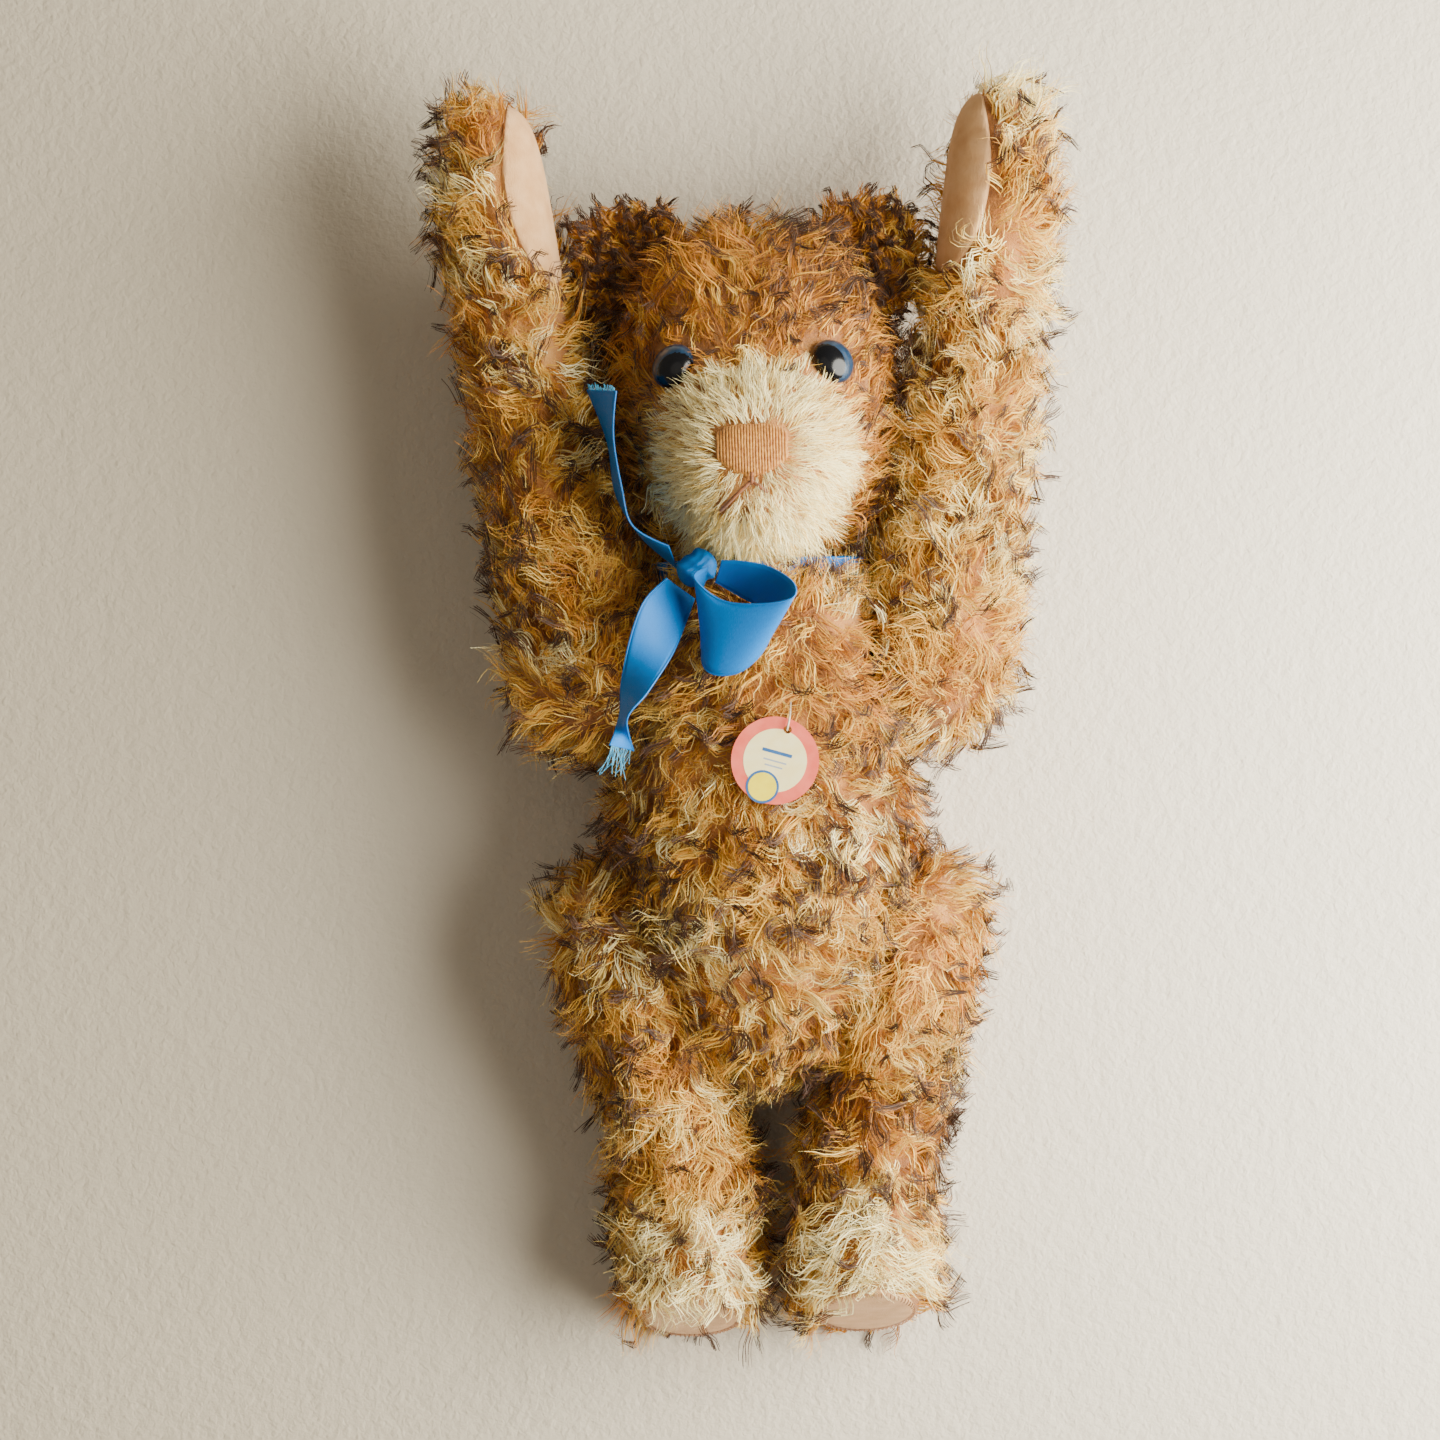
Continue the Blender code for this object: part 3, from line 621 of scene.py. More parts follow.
class Coat:
    """How one stretch of fur is made. Lengths are in millimetres and angles in radians."""

    def __init__(self, **changes):
        self.length = (16.0, 25.0)
        self.per_lock = 14
        self.spread = 3.2
        self.segments = 7
        self.lay = (0.5, 1.45)
        self.hook = 2.1
        self.wave = (0.5, 1.2)
        self.turns = (0.8, 1.6)
        self.lift = 0.55
        self.gather = 0.7
        self.width = 0.33
        self.stray = 0.35
        self.tipped = 0.45
        self.tip_from = (0.6, 0.82)
        self.shades = (0.06, 0.28, 0.34, 0.22, 0.10)
        self.__dict__.update(changes)


def past_box(path):
    """Strands that stand further out of the CAD's box than fabric may, with 1 mm to spare."""
    low, high = np.array(cad_low), np.array(cad_high)
    proud = 0.03 * (high - low) + 9 * MM
    too_low = path[:, :, :2] < (low - proud)[:2]
    return too_low.any(axis=(1, 2)) | (path > high + proud).any(axis=(1, 2))


def grow(name, surface, count, coat, flow, seed, materials, allow=None, scale=None, pale=None, ceiling=None):
    """A mesh of curved, tapering strands in locks.

    flow gives a direction at each point, allow the share of locks kept there, scale a factor on length,
    pale from 0 to 1 how far the shades move to cream, and ceiling removes strands it returns True for.
    """
    rng = np.random.default_rng(seed)
    points, normals = evenly(*scatter(surface, count * 5, rng), count)
    if allow is not None:
        kept = rng.random(len(points)) < allow(points, normals)
        points, normals = points[kept], normals[kept]
    locks = len(points)
    along = flow(points, normals) + coat.stray * rng.normal(size=(locks, 3))
    along = unit(along - (along * normals).sum(1, keepdims=True) * normals)
    across = np.cross(normals, along)
    size = rng.uniform(*coat.length, locks) * MM
    if scale is not None:
        size = size * scale(points)
    hook = rng.choice([-1, 1], locks) * coat.hook * rng.uniform(0.3, 1.5, locks)
    wave = rng.uniform(*coat.wave, locks)
    turns = rng.uniform(*coat.turns, locks)
    phase = rng.uniform(0, 2 * math.pi, locks)
    lay_low = coat.lay[0] * rng.uniform(0.6, 1.3, locks)
    lay_high = coat.lay[1] * rng.uniform(0.85, 1.1, locks)
    lift = coat.lift * rng.uniform(0.0, 1.6, locks)
    patches = swirl(points, seed + 50, 0.05)
    shade_at = np.clip(0.5 * rng.random(locks) + 0.25 + 0.16 * patches[:, 0], 0, 1)
    if pale is not None:
        shade_at = 1 - (1 - shade_at) * (1 - pale(points))
    share = coat.tipped * np.clip(1 + 0.7 * patches[:, 1], 0.3, 2.0)
    tipped = rng.random(locks) < (share if pale is None else share * (1 - 0.85 * pale(points)))
    tip_from = rng.uniform(*coat.tip_from, locks)

    lock = np.repeat(np.arange(locks), coat.per_lock)
    strands = len(lock)
    n, t, b = normals[lock], along[lock], across[lock]
    radius = coat.spread * MM * np.sqrt(rng.random(strands))
    round_ = rng.uniform(0, 2 * math.pi, strands)
    offset = (np.cos(round_) * radius)[:, None] * t + (np.sin(round_) * radius)[:, None] * b
    loose = np.where(tipped, 0.4, 1.0)[lock]
    length = size[lock] * (1 - 0.3 * loose * rng.random(strands))
    own_turn = loose * rng.normal(0, 0.16, strands)
    own_lay = loose * rng.normal(0, 0.12, strands)
    gather = np.where(tipped, 0.5 + 0.5 * coat.gather, coat.gather)[lock][:, None]
    steps = coat.segments
    path = np.empty((strands, steps + 1, 3))
    place = points[lock] - 1.2 * MM * n
    path[:, 0] = place + offset
    for k in range(steps):
        s = (k + 0.5) / steps
        lay = lay_low[lock] + (lay_high - lay_low)[lock] * min(1.0, s * 1.7) + own_lay
        lay = lay - lift[lock] * max(0.0, s - 0.55) * 2
        turn = wave[lock] * np.sin(2 * math.pi * turns[lock] * s + phase[lock]) + hook[lock] * s**2 + own_turn
        step = np.cos(lay)[:, None] * n + np.sin(lay)[:, None] * (
            np.cos(turn)[:, None] * t + np.sin(turn)[:, None] * b
        )
        place = place + step * (length / steps)[:, None]
        path[:, k + 1] = place + offset * (1 - gather * (k + 1) / steps)
    fine = ~past_box(path)
    if ceiling is not None:
        fine &= ~ceiling(path)
    path, lock, n = path[fine], lock[fine], n[fine]
    strands = len(path)
    floor = (0.2 + 0.9 * rng.random((strands, 1))) * MM
    path[:, :, 2] = np.maximum(path[:, :, 2], floor)

    along = unit(np.gradient(path, axis=1))
    facing = unit(n + rng.normal(0, 0.55, (strands, 3)))[:, None, :]
    side = unit(np.cross(along, facing))
    sharp = np.where(tipped[lock], 0.45, 0.8)[:, None]
    taper = 1 - sharp * np.linspace(0, 1, steps + 1)[None, :] ** 1.8
    half = side * (0.5 * coat.width * MM * rng.uniform(0.7, 1.3, (strands, 1)) * taper)[:, :, None]
    corners = np.stack([path - half, path + half], 2).reshape(-1, 3)

    base = np.searchsorted(np.cumsum(coat.shades), np.clip(shade_at, 0, 0.9999))
    base = np.clip(base, 0, 4)
    own = np.clip(base[lock] + rng.choice([-1, 0, 0, 0, 0, 1], strands), 0, 4)
    dark_from = tip_from[lock] + rng.normal(0, 0.05, strands)
    middle = (np.arange(steps) + 0.5) / steps
    is_tip = tipped[lock][:, None] & (middle[None, :] > dark_from[:, None])
    is_edge = tipped[lock][:, None] & (middle[None, :] > dark_from[:, None] - 0.12) & ~is_tip
    kind = np.where(is_tip, 6, np.where(is_edge, 5, own[:, None]))

    start = (np.arange(strands)[:, None] * (steps + 1) + np.arange(steps)[None, :]) * 2
    quads = np.stack([start, start + 1, start + 3, start + 2], 2).reshape(-1, 4)
    mesh = bpy.data.meshes.new(name)
    mesh.vertices.add(len(corners))
    mesh.vertices.foreach_set("co", corners.astype(np.float32).ravel())
    mesh.loops.add(len(quads) * 4)
    mesh.loops.foreach_set("vertex_index", quads.astype(np.int32).ravel())
    mesh.polygons.add(len(quads))
    mesh.polygons.foreach_set("loop_start", np.arange(len(quads), dtype=np.int32) * 4)
    obj = link(name, mesh, *materials)
    mesh.polygons.foreach_set("material_index", kind.astype(np.int32).ravel())
    mesh.polygons.foreach_set("use_smooth", np.ones(len(quads), bool))
    mesh.update(calc_edges=True)
    return obj


# ---------------------------------------------------------------- ribbon


def ribbon_strip(name, stations, length_steps, material, thickness=0.35, waves=0.25, pleat=0.0):
    """A band of satin through stations of (middle, half its width as a vector), in millimetres.

    pleat folds it lengthwise by that much, up and down over its width.
    """
    rows = catmull_rom([[*middle, *edge] for middle, edge in stations], length_steps) * MM
    across = 10
    grid = np.empty((length_steps + 1, across + 1, 3))
    for k in range(across + 1):
        grid[:, k] = rows[:, :3] + rows[:, 3:] * (2 * k / across - 1)
    along = np.gradient(grid, axis=0)
    normal = unit(np.cross(along, np.gradient(grid, axis=1)))
    ripple = np.sin(np.linspace(0, 9.0, length_steps + 1))[:, None] * np.cos(np.linspace(0, math.pi, across + 1))
    fold = np.where(np.arange(across + 1) % 2 == 0, 1.0, -1.0)[None, :]
    grid += normal * ((ripple * waves + fold * pleat) * MM)[:, :, None]
    points = grid.reshape(-1, 3)
    faces = []
    for r in range(length_steps):
        for k in range(across):
            a = r * (across + 1) + k
            faces.append((a, a + 1, a + across + 2, a + across + 1))
    mesh = mesh_of(name, points, faces)
    layer = mesh.uv_layers.new(name="UVMap")
    corners = np.empty(len(mesh.loops), np.int32)
    mesh.loops.foreach_get("vertex_index", corners)
    uv = np.stack([corners % (across + 1) / across * 0.2, corners // (across + 1) / length_steps], 1)
    layer.data.foreach_set("uv", uv.astype(np.float32).ravel())
    obj = link(name, smooth(mesh), material)
    wall = obj.modifiers.new("wall", "SOLIDIFY")
    wall.thickness, wall.offset = thickness * MM, 0.0
    width = 2 * np.median(np.linalg.norm(rows[:, 3:], axis=1))
    length = np.linalg.norm(np.diff(rows[:, :3], axis=0), axis=1).sum()
    return obj, grid, (float(width), float(length))


def selvedges(name, grid, material):
    """The firm woven edge along either side of a band."""
    return tube(name, [grid[:, 0], grid[:, -1]], 0.32 * MM, material, 1)


def frayed_end(name, edge_points, direction, reach, count, seed, material):
    """Loose threads past the cut end of a band."""
    rng = np.random.default_rng(seed)
    routes = []
    for _ in range(count):
        at = rng.uniform(0.02, 0.98) * (len(edge_points) - 1)
        low = int(at)
        start = edge_points[low] + (edge_points[min(low + 1, len(edge_points) - 1)] - edge_points[low]) * (at - low)
        heading = unit(np.array(direction) + rng.normal(0, 0.16, 3))
        bend = rng.normal(0, 0.25, 3)
        length = rng.uniform(*reach) * MM
        routes.append([start + heading * length * t + bend * length * t * t * 0.5 for t in np.linspace(0, 1, 6)])
    return tube(name, routes, 0.09 * MM, material, 1)


BOW_LOOP = [
    ((-16, 46, 87.5), (1, 3.5, 4)),
    ((-18.5, 38, 92), (-1, 8, 7)),
    ((-14, 29, 97), (2.5, 10, 4.5)),
    ((-4, 27.5, 101), (4, 10, 5)),
    ((4.5, 31, 102), (4.5, 8, 6.5)),
    ((6.5, 37.5, 97), (3, 6, 9)),
    ((1, 43, 92), (2, 5.5, 8)),
    ((-6, 46, 90), (1.5, 4.5, 7)),
    ((-12, 48, 90.5), (1, 3, 4)),
]
LOWER_TAIL = [
    ((-23.5, 43.5, 83), (-4, 3, 4)),
    ((-28.5, 36, 89), (-6, 3.5, 4)),
    ((-33, 25.5, 91.5), (-6, 2.5, 0)),
    ((-38, 14, 92), (-4, 1.5, -5.5)),
    ((-41.5, 5.5, 91), (-1, 0.5, -6)),
    ((-42.3, -3.5, 90), (-3.4, 1, 5.5)),
]
UPPER_TAIL = [
    ((-25.5, 53, 80), (-1, 3, 6)),
    ((-36, 61, 80), (-1, 1.5, 8.5)),
    ((-41, 73, 81), (0.8, 0.4, 10)),
    ((-43, 88, 83), (1.2, 0, 10.3)),
    ((-45.2, 103, 86), (4.6, -1, 9)),
]


def ribbons():
    """The neck ribbon's five pieces. Returns every band's points, for the fur to give way to."""
    satin = satin_material()
    edge = shader("satin_edge", linear(0, 110, 192), 0.45)
    frayed = shader("satin_thread", linear(70, 170, 214), 0.6)
    grids = []
    for name, stations, steps, held in (
        ("ribbon_bow_loop", BOW_LOOP, 90, "gathered"),
        ("ribbon_lower_tail", LOWER_TAIL, 60, "hung"),
        ("ribbon_upper_tail", UPPER_TAIL, 60, "hung"),
    ):
        band, grid, flat = ribbon_strip(f"{name}_satin", stations, steps, satin)
        grids.append(grid)
        trims = [selvedges(f"{name}_selvedge", grid, edge)]
        if name == "ribbon_lower_tail":
            trims.append(frayed_end("lower_tail_fray", grid[-1], (-0.25, -1, -0.05), (3, 10), 26, 3, frayed))
        if name == "ribbon_upper_tail":
            trims.append(frayed_end("upper_tail_fray", grid[-1], (-0.2, 1, 0.1), (0.6, 2.0), 40, 4, frayed))
        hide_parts(name)
        for piece in (band, *trims):
            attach(piece, "torso")
    collar = []
    for k in range(49):
        angle = 2 * math.pi * k / 48
        out = 33.4 + 0.5 * math.sin(5 * angle)
        middle = (out * math.cos(angle), 49.5, 44 + out * math.sin(angle))
        collar.append((middle, (0.3 * math.sin(3 * angle), 2.9, 0.0)))
    band, grid, (_, length) = ribbon_strip("ribbon_neck_band_satin", collar, 144, satin, 0.2, 0.12, 0.45)
    grids.append(grid)
    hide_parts("ribbon_neck_band")
    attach(band, "torso")
    knot_of(satin)
    return grids


def knot_of(satin):
    """The knot: a short turn of the band, pinched in folds."""
    low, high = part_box("ribbon_knot")
    middle, half = (low + high) / 2, (high - low) / 2
    mesh = ball("ribbon_knot_folds", 48, 28)
    for vertex in mesh.vertices:
        x, y, z = vertex.co
        crease = 1 + 0.07 * math.sin(9 * x + 2.5 * y) + 0.03 * math.sin(17 * y + 5 * z)
        pinch = 1 - 0.18 * math.exp(-(x * x) * 6)
        vertex.co = Vector((x * half.x, y * half.y * crease * pinch, z * half.z * crease * pinch))
    mesh.transform(Matrix.Translation(middle) @ Matrix.Rotation(0.6, 4, "Z"))
    mesh.uv_layers.new(name="UVMap")
    knot = link("ribbon_knot_folds", smooth(mesh), satin)
    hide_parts("ribbon_knot")
    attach(knot, "torso")


# ---------------------------------------------------------------- tag


def disc(name, middle, radius, low, high, material, sides=64, hole=None):
    bm = bmesh.new()
    bmesh.ops.create_cone(bm, cap_ends=True, segments=sides, radius1=radius, radius2=radius, depth=high - low)
    mesh = bpy.data.meshes.new(name)
    bm.to_mesh(mesh)
    bm.free()
    mesh.transform(Matrix.Translation(Vector((middle.x, middle.y, middle.z + (low + high) / 2))))
    obj = link(name, mesh, material)
    if hole is not None:
        cutter = disc("tag_punch", hole, 1.2 * MM, -5 * MM, 5 * MM, material, 24)
        cut = obj.modifiers.new("hole", "BOOLEAN")
        cut.operation, cut.object, cut.solver = "DIFFERENCE", cutter, "EXACT"
        obj.data = applied_copy(obj)
        obj.modifiers.clear()
        bpy.data.objects.remove(cutter)
    return obj


def applied_copy(obj):
    graph = bpy.context.evaluated_depsgraph_get()
    return bpy.data.meshes.new_from_object(obj.evaluated_get(graph))


def chest_tag():
    low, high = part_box("chest_tag")
    middle = (low + high) / 2
    hole = Vector((7.0 * MM, 0.5 * MM, middle.z))
    coral = card_material("tag_coral", (226, 96, 78), (236, 112, 92))
    cream = card_material("tag_cream", (244, 226, 160), (248, 234, 178))
    yellow = card_material("tag_yellow", (240, 216, 20), (246, 226, 40))
    blue = card_material("tag_blue", (44, 92, 150), (56, 104, 160))
    grey = card_material("tag_grey", (150, 160, 178), (160, 170, 186))
    half = 0.4 * MM
    base = disc("tag_card", middle, 13 * MM, -half, half, coral, 96, hole)
    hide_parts("chest_tag")
    parts = [
        base,
        disc("tag_centre", middle, 9.4 * MM, half, half + 0.06 * MM, cream, 96, hole),
        disc("tag_dot_rim", middle + Vector((-4.0, -7.6, 0)) * MM, 4.9 * MM, half, half + 0.10 * MM, blue),
        disc("tag_dot", middle + Vector((-4.0, -7.6, 0)) * MM, 4.2 * MM, half, half + 0.16 * MM, yellow),
    ]
    for number, (y, width, thick, paint) in enumerate(((2.4, 9.0, 1.0, blue), (-0.2, 7.0, 0.45, grey), (-1.8, 5.4, 0.45, grey))):
        box = bmesh.new()
        bmesh.ops.create_cube(box, size=1.0)
        mesh = bpy.data.meshes.new(f"tag_rule_{number}")
        box.to_mesh(mesh)
        box.free()
        mesh.transform(Matrix.Diagonal((width * MM, thick * MM, 0.05 * MM, 1)))
        turn = Matrix.Rotation(-0.3, 4, "Z")
        mesh.transform(Matrix.Translation(middle + Vector((0, 0, 0.48 * MM))) @ turn @ Matrix.Translation(Vector((0, y * MM, 0))))
        parts.append(link(f"tag_rule_{number}", mesh, paint))
    for part in parts:
        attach(part, "tag")
    route = [hole + Vector(step) * MM for step in ((0, 0, -1.8), (-0.2, 0, 1.2), (0.3, 2, 1.9), (0.8, 4.5, 0.6), (1, 6.5, -3), (1.2, 8, -6.5))]
    line = catmull_rom([list(p) for p in route], 30)
    thread = tube("tag_tie", [line], 0.28 * MM, thread_material("cord", (190, 176, 150), (226, 216, 194)))
    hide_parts("tag_thread")
    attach(thread, "torso")


def card_material(name, dark, light):
    material = shader(name, linear(*light), 0.35, Specular_IOR_Level=0.45)
    graph = Graph(material)
    print_ = graph.noise(300.0, 3.0)
    graph.colour(print_, (0.35, linear(*dark)), (0.65, linear(*light)))
    graph.rough(print_, 0.3, 0.45)
    graph.bump(graph.noise(900.0, 2.0), 0.00002, 0.3)
    return material


# ---------------------------------------------------------------- face


def eyes(tree):
    """Domed glass eyes: a black pupil in a blue ground."""
    black = shader("eye_black", linear(8, 9, 13), 0.2, Specular_IOR_Level=0.3, Coat_Weight=0.35, Coat_Roughness=0.12)
    speckle = Graph(black)
    speckle.rough(speckle.noise(300.0, 3.0), 0.15, 0.3)
    blue = shader("eye_blue", linear(22, 52, 80), 0.3, Specular_IOR_Level=0.3, Coat_Weight=0.35, Coat_Roughness=0.12)
    iris = Graph(blue)
    iris.colour(iris.noise(500.0, 4.0), (0.3, linear(16, 40, 64)), (0.7, linear(28, 62, 92)))
    for side, sign in SIDES:
        low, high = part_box(f"{side}_eye")
        point, normal = ray_down(tree, 23.0, 109.0)
        place = frame_at(point + 0.9 * MM * normal, normal)
        if sign < 0:
            place = mirror_place(place)
        radius = 7.0 * MM
        profile = [(0.0, radius * 0.74)]
        for k in range(1, 25):
            angle = math.pi / 2 * k / 24
            profile.append((radius * math.sin(angle), radius * 0.74 * math.cos(angle)))
        profile += [(radius * 0.94, -1.0 * MM), (radius * 0.7, -2.2 * MM), (1.3 * MM, -3 * MM), (1.3 * MM, -8.4 * MM), (0, -8.4 * MM)]
        eye = turned(f"{side}_glass_eye", profile, 64, black, blue)
        eye.data.transform(place)
        middle = place.translation
        gaze = Vector((-0.30, -0.10, 1)).normalized() if sign > 0 else Vector((0.02, -0.36, 1)).normalized()
        for face in eye.data.polygons:
            face.material_index = int((face.center - middle).normalized().angle(gaze) > math.radians(60))
        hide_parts(f"{side}_eye")
        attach(eye, "head")


NOSE_X = -1.2


def nose_and_mouth(tree):
    """A field of vertical satin stitches, and two slanted ones for the mouth."""
    silk = thread_material("nose_thread", (168, 102, 34), (208, 146, 62))
    rng = np.random.default_rng(11)
    routes = []
    for layer, lift in ((0, 0.35), (1, 0.95)):
        count = 25
        for k in range(count):
            x = -9.8 + 19.6 * (k + 0.5 * layer) / (count - 1)
            if abs(x) > 9.9:
                continue
            across = abs(x) / 10.0
            top = 89.4 - 2.4 * across**4 + rng.normal(0, 0.12)
            bottom = 74.6 + 5.0 * across**1.7 + rng.normal(0, 0.15)
            route = []
            for step in range(12):
                s = step / 11
                y = top + (bottom - top) * s
                point, normal = ray_down(tree, NOSE_X + x + rng.normal(0, 0.03), y)
                ends = 1 - (2 * abs(s - 0.5)) ** 6
                route.append(point + normal * (lift * ends + 0.1) * MM)
            routes.append(route)
    nose = tube("nose_stitches", routes, 0.47 * MM, silk)
    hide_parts("nose_embroidery")
    brown = thread_material("mouth_thread", (112, 62, 30), (150, 90, 48))
    routes = []
    for start, end in (((-1.6, 73.2), (-10.0, 66.2)), ((-1.4, 73.0), (2.8, 70.2)), ((-1.5, 75.3), (-1.5, 72.4))):
        route = []
        for s in np.linspace(0, 1, 12):
            x, y = start[0] + (end[0] - start[0]) * s, start[1] + (end[1] - start[1]) * s
            point, normal = ray_down(tree, x, y)
            route.append(point + normal * (1.7 + 0.8 * math.sin(math.pi * s)) * MM)
        routes.append(route)
    mouth = tube("mouth_stitches", routes, 0.55 * MM, brown)
    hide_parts("mouth_embroidery")
    for piece in (nose, mouth):
        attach(piece, "head")


# ---------------------------------------------------------------- ears and pads


def ear_forms():
    forms = {}
    for side, sign in SIDES:
        mesh = ball(f"{side}_ear_form", 40, 24, EAR_RADIUS * MM)
        for vertex in mesh.vertices:
            spread = math.hypot(vertex.co.x, vertex.co.y) / (EAR_RADIUS * MM)
            vertex.co.z = vertex.co.z * 0.24 - 5.0 * MM * (1 - spread**2)
        turn = Matrix.Rotation(-sign * math.radians(38), 4, "Z") @ Matrix.Rotation(math.radians(-12), 4, "X")
        mesh.transform(Matrix.Translation(Vector((sign * EAR_PLACE.x, EAR_PLACE.y, EAR_PLACE.z)) * MM) @ turn)
        forms[side] = smooth(mesh)
    return forms


def patch(name, form, cutter_mesh, thickness, lift, material):
    """The part of a form's surface inside a cutter, as a raised sheet."""
    obj = link(name, form.copy(), material)
    obj.data.materials.clear()
    obj.data.materials.append(material)
    grown = obj.modifiers.new("grow", "DISPLACE")
    grown.strength, grown.mid_level = (lift + thickness) * MM, 0.0
    wall = obj.modifiers.new("wall", "SOLIDIFY")
    wall.thickness, wall.offset = thickness * MM, -1.0
    cutter = link("patch_cutter", cutter_mesh)
    cut = obj.modifiers.new("cut", "BOOLEAN")
    cut.operation, cut.object, cut.solver = "INTERSECT", cutter, "EXACT"
    obj.data = applied_copy(obj)
    obj.modifiers.clear()
    bpy.data.objects.remove(cutter)
    smooth(obj.data)
    return obj


PAW_PLACE = Matrix.Translation(Vector((63, 167, 58)) * MM) @ Matrix.Rotation(math.radians(-6), 4, "Z")
PAW_HALF = (14.0, 29.0, 15.0)


def ellipsoid_mesh(half, place):
    mesh = ball("ellipsoid", 64, 40)
    mesh.transform(place @ Matrix.Diagonal((half[0] * MM, half[1] * MM, half[2] * MM, 1)))
    return mesh


def inside_paw_pad(points, sign, grow):
    """True at points within the paw pad's bounds, grown by grow millimetres."""
    local = points * np.array([sign, 1, 1]) - np.array(PAW_PLACE.translation)
    turn = np.array(PAW_PLACE.to_3x3())
    local = local @ turn / MM
    return ((local / (np.array(PAW_HALF) + grow)) ** 2).sum(-1) < 1


def pads(felt):
    seam = thread_material("seam_thread", (150, 104, 66), (182, 136, 92))
    for side, sign in SIDES:
        place = PAW_PLACE if sign > 0 else mirror_place(PAW_PLACE)
        pad = patch(f"{side}_paw_felt", forms[f"{side}_arm"], ellipsoid_mesh(PAW_HALF, place), 1.2, 0.1, felt)
        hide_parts(f"{side}_paw_pad")
        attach(pad, f"{side}_arm")
        middle = Vector((27.0, HEEL_Y + 31.5 * math.tan(SOLE_TILT), 31.5)) * MM
        sole_place = frame_at(middle, SOLE_NORMAL)
        if sign < 0:
            sole_place = mirror_place(sole_place)
        rings, spokes = 22, 72
        points, faces = [(0.0, 0.0, 1.2 * MM)], []
        for ring in range(1, rings + 1):
            r = ring / rings
            for k in range(spokes):
                angle = 2 * math.pi * k / spokes
                edge = 1.2 * (1 - r**6) - 1.3 * max(0.0, r - 0.93) / 0.07
                points.append((15.6 * r * math.cos(angle) * MM, 27.6 * r * math.sin(angle) * MM, edge * MM))
        for k in range(spokes):
            faces.append((0, 1 + k, 1 + (k + 1) % spokes))
        for ring in range(rings - 1):
            for k in range(spokes):
                a, b = 1 + ring * spokes + k, 1 + ring * spokes + (k + 1) % spokes
                faces.append((a, a + spokes, b + spokes, b))
        mesh = mesh_of(f"{side}_sole_felt", points, faces)
        mesh.transform(sole_place)
        if sign < 0:
            mesh.flip_normals()
        sole = link(f"{side}_sole_felt", smooth(mesh), felt)
        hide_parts(f"{side}_foot_pad")
        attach(sole, f"{side}_leg")
        stitches = []
        for k in range(64):
            angle = 2 * math.pi * k / 64
            stitches.append(
                [
                    sole_place @ (Vector((r * 15.6 * math.cos(angle + lean), r * 27.6 * math.sin(angle + lean), up)) * MM)
                    for r, lean, up in ((0.93, 0.0, 1.2), (0.965, 0.01, 1.1), (1.0, 0.02, 0.2))
                ]
            )
        thread = tube(f"{side}_sole_stitches", stitches, 0.2 * MM, seam, 1)
        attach(thread, f"{side}_leg")


# ---------------------------------------------------------------- which way the fur lies, and where it grows


def noise_about(direction, amount, wavelength, seed):
    def flow(points, normals):
        return np.array(direction, float) + amount * swirl(points, seed, wavelength)

    return flow


def away_from(middle, amount, wavelength, seed):
    def flow(points, normals):
        return unit(points - np.array(middle)) + amount * swirl(points, seed, wavelength)

    return flow


def torso_flow(points, normals):
    """Down the body, and up over the ribbon at the neck."""
    neck = np.clip((points[:, 1:2] - 0.032) / 0.008, 0, 1)
    heading = (1 - neck) * np.array([0.0, -1.0, 0.0]) + neck * np.array([0.0, 1.0, 0.0])
    return heading + (1.1 - 0.8 * neck) * swirl(points, 5, 0.055)


def leg_flow(points, normals):
    """Down the leg, and spreading over the toes."""
    middle = np.stack([np.sign(points[:, 0]) * 0.027, np.full(len(points), -0.150), np.full(len(points), 0.055)], 1)
    toes = np.clip((-0.140 - points[:, 1]) / 0.025, 0, 1)[:, None]
    return (1 - toes) * np.array([0.0, -1.0, 0.0]) + toes * unit(points - middle) + 0.8 * swirl(points, 9, 0.05)


def seats_open(places):
    """Leaves out the fur that a limb or the body covers at a joint."""

    def allow(points, normals):
        share = np.ones(len(points))
        for place, normal, radius in places:
            offset = points - np.array(place) * MM
            height = offset @ np.array(normal)
            spread = np.linalg.norm(offset - height[:, None] * np.array(normal), axis=1)
            share[(np.abs(height) < 3 * MM) & (spread < radius * MM)] = 0
        return share

    return allow


def muzzle_share(points):
    """1 on the muzzle, falling to 0 about it."""
    offset = (points - np.array([0.0, 0.074, 0.104])) / np.array([0.032, 0.029, 0.040])
    return np.clip((1.22 - np.linalg.norm(offset, axis=-1)) / 0.22, 0, 1)


def eye_gap(points):
    """Distance to the nearer eye, in millimetres."""
    mirror = points * np.array([1, 1, 1])
    mirror = np.concatenate([np.abs(points[..., :1]), points[..., 1:]], -1)
    return np.linalg.norm(mirror - np.array(EYE_MIDDLE), axis=-1) / MM


def cover_map(grids, cell=1.0):
    """The lowest height of the ribbons and the tag over each square of a grid, seen from the front."""
    low = np.array([-60.0, -30.0])
    heights = np.full((130, 150), 9.0)
    for grid in grids:
        fine = np.concatenate([grid[:-1] * (1 - t) + grid[1:] * t for t in (0.0, 0.5)], 0).reshape(-1, 3)
        at = ((fine[:, :2] / MM - low) / cell).astype(int)
        np.minimum.at(heights, (at[:, 0], at[:, 1]), fine[:, 2])
    return low, heights


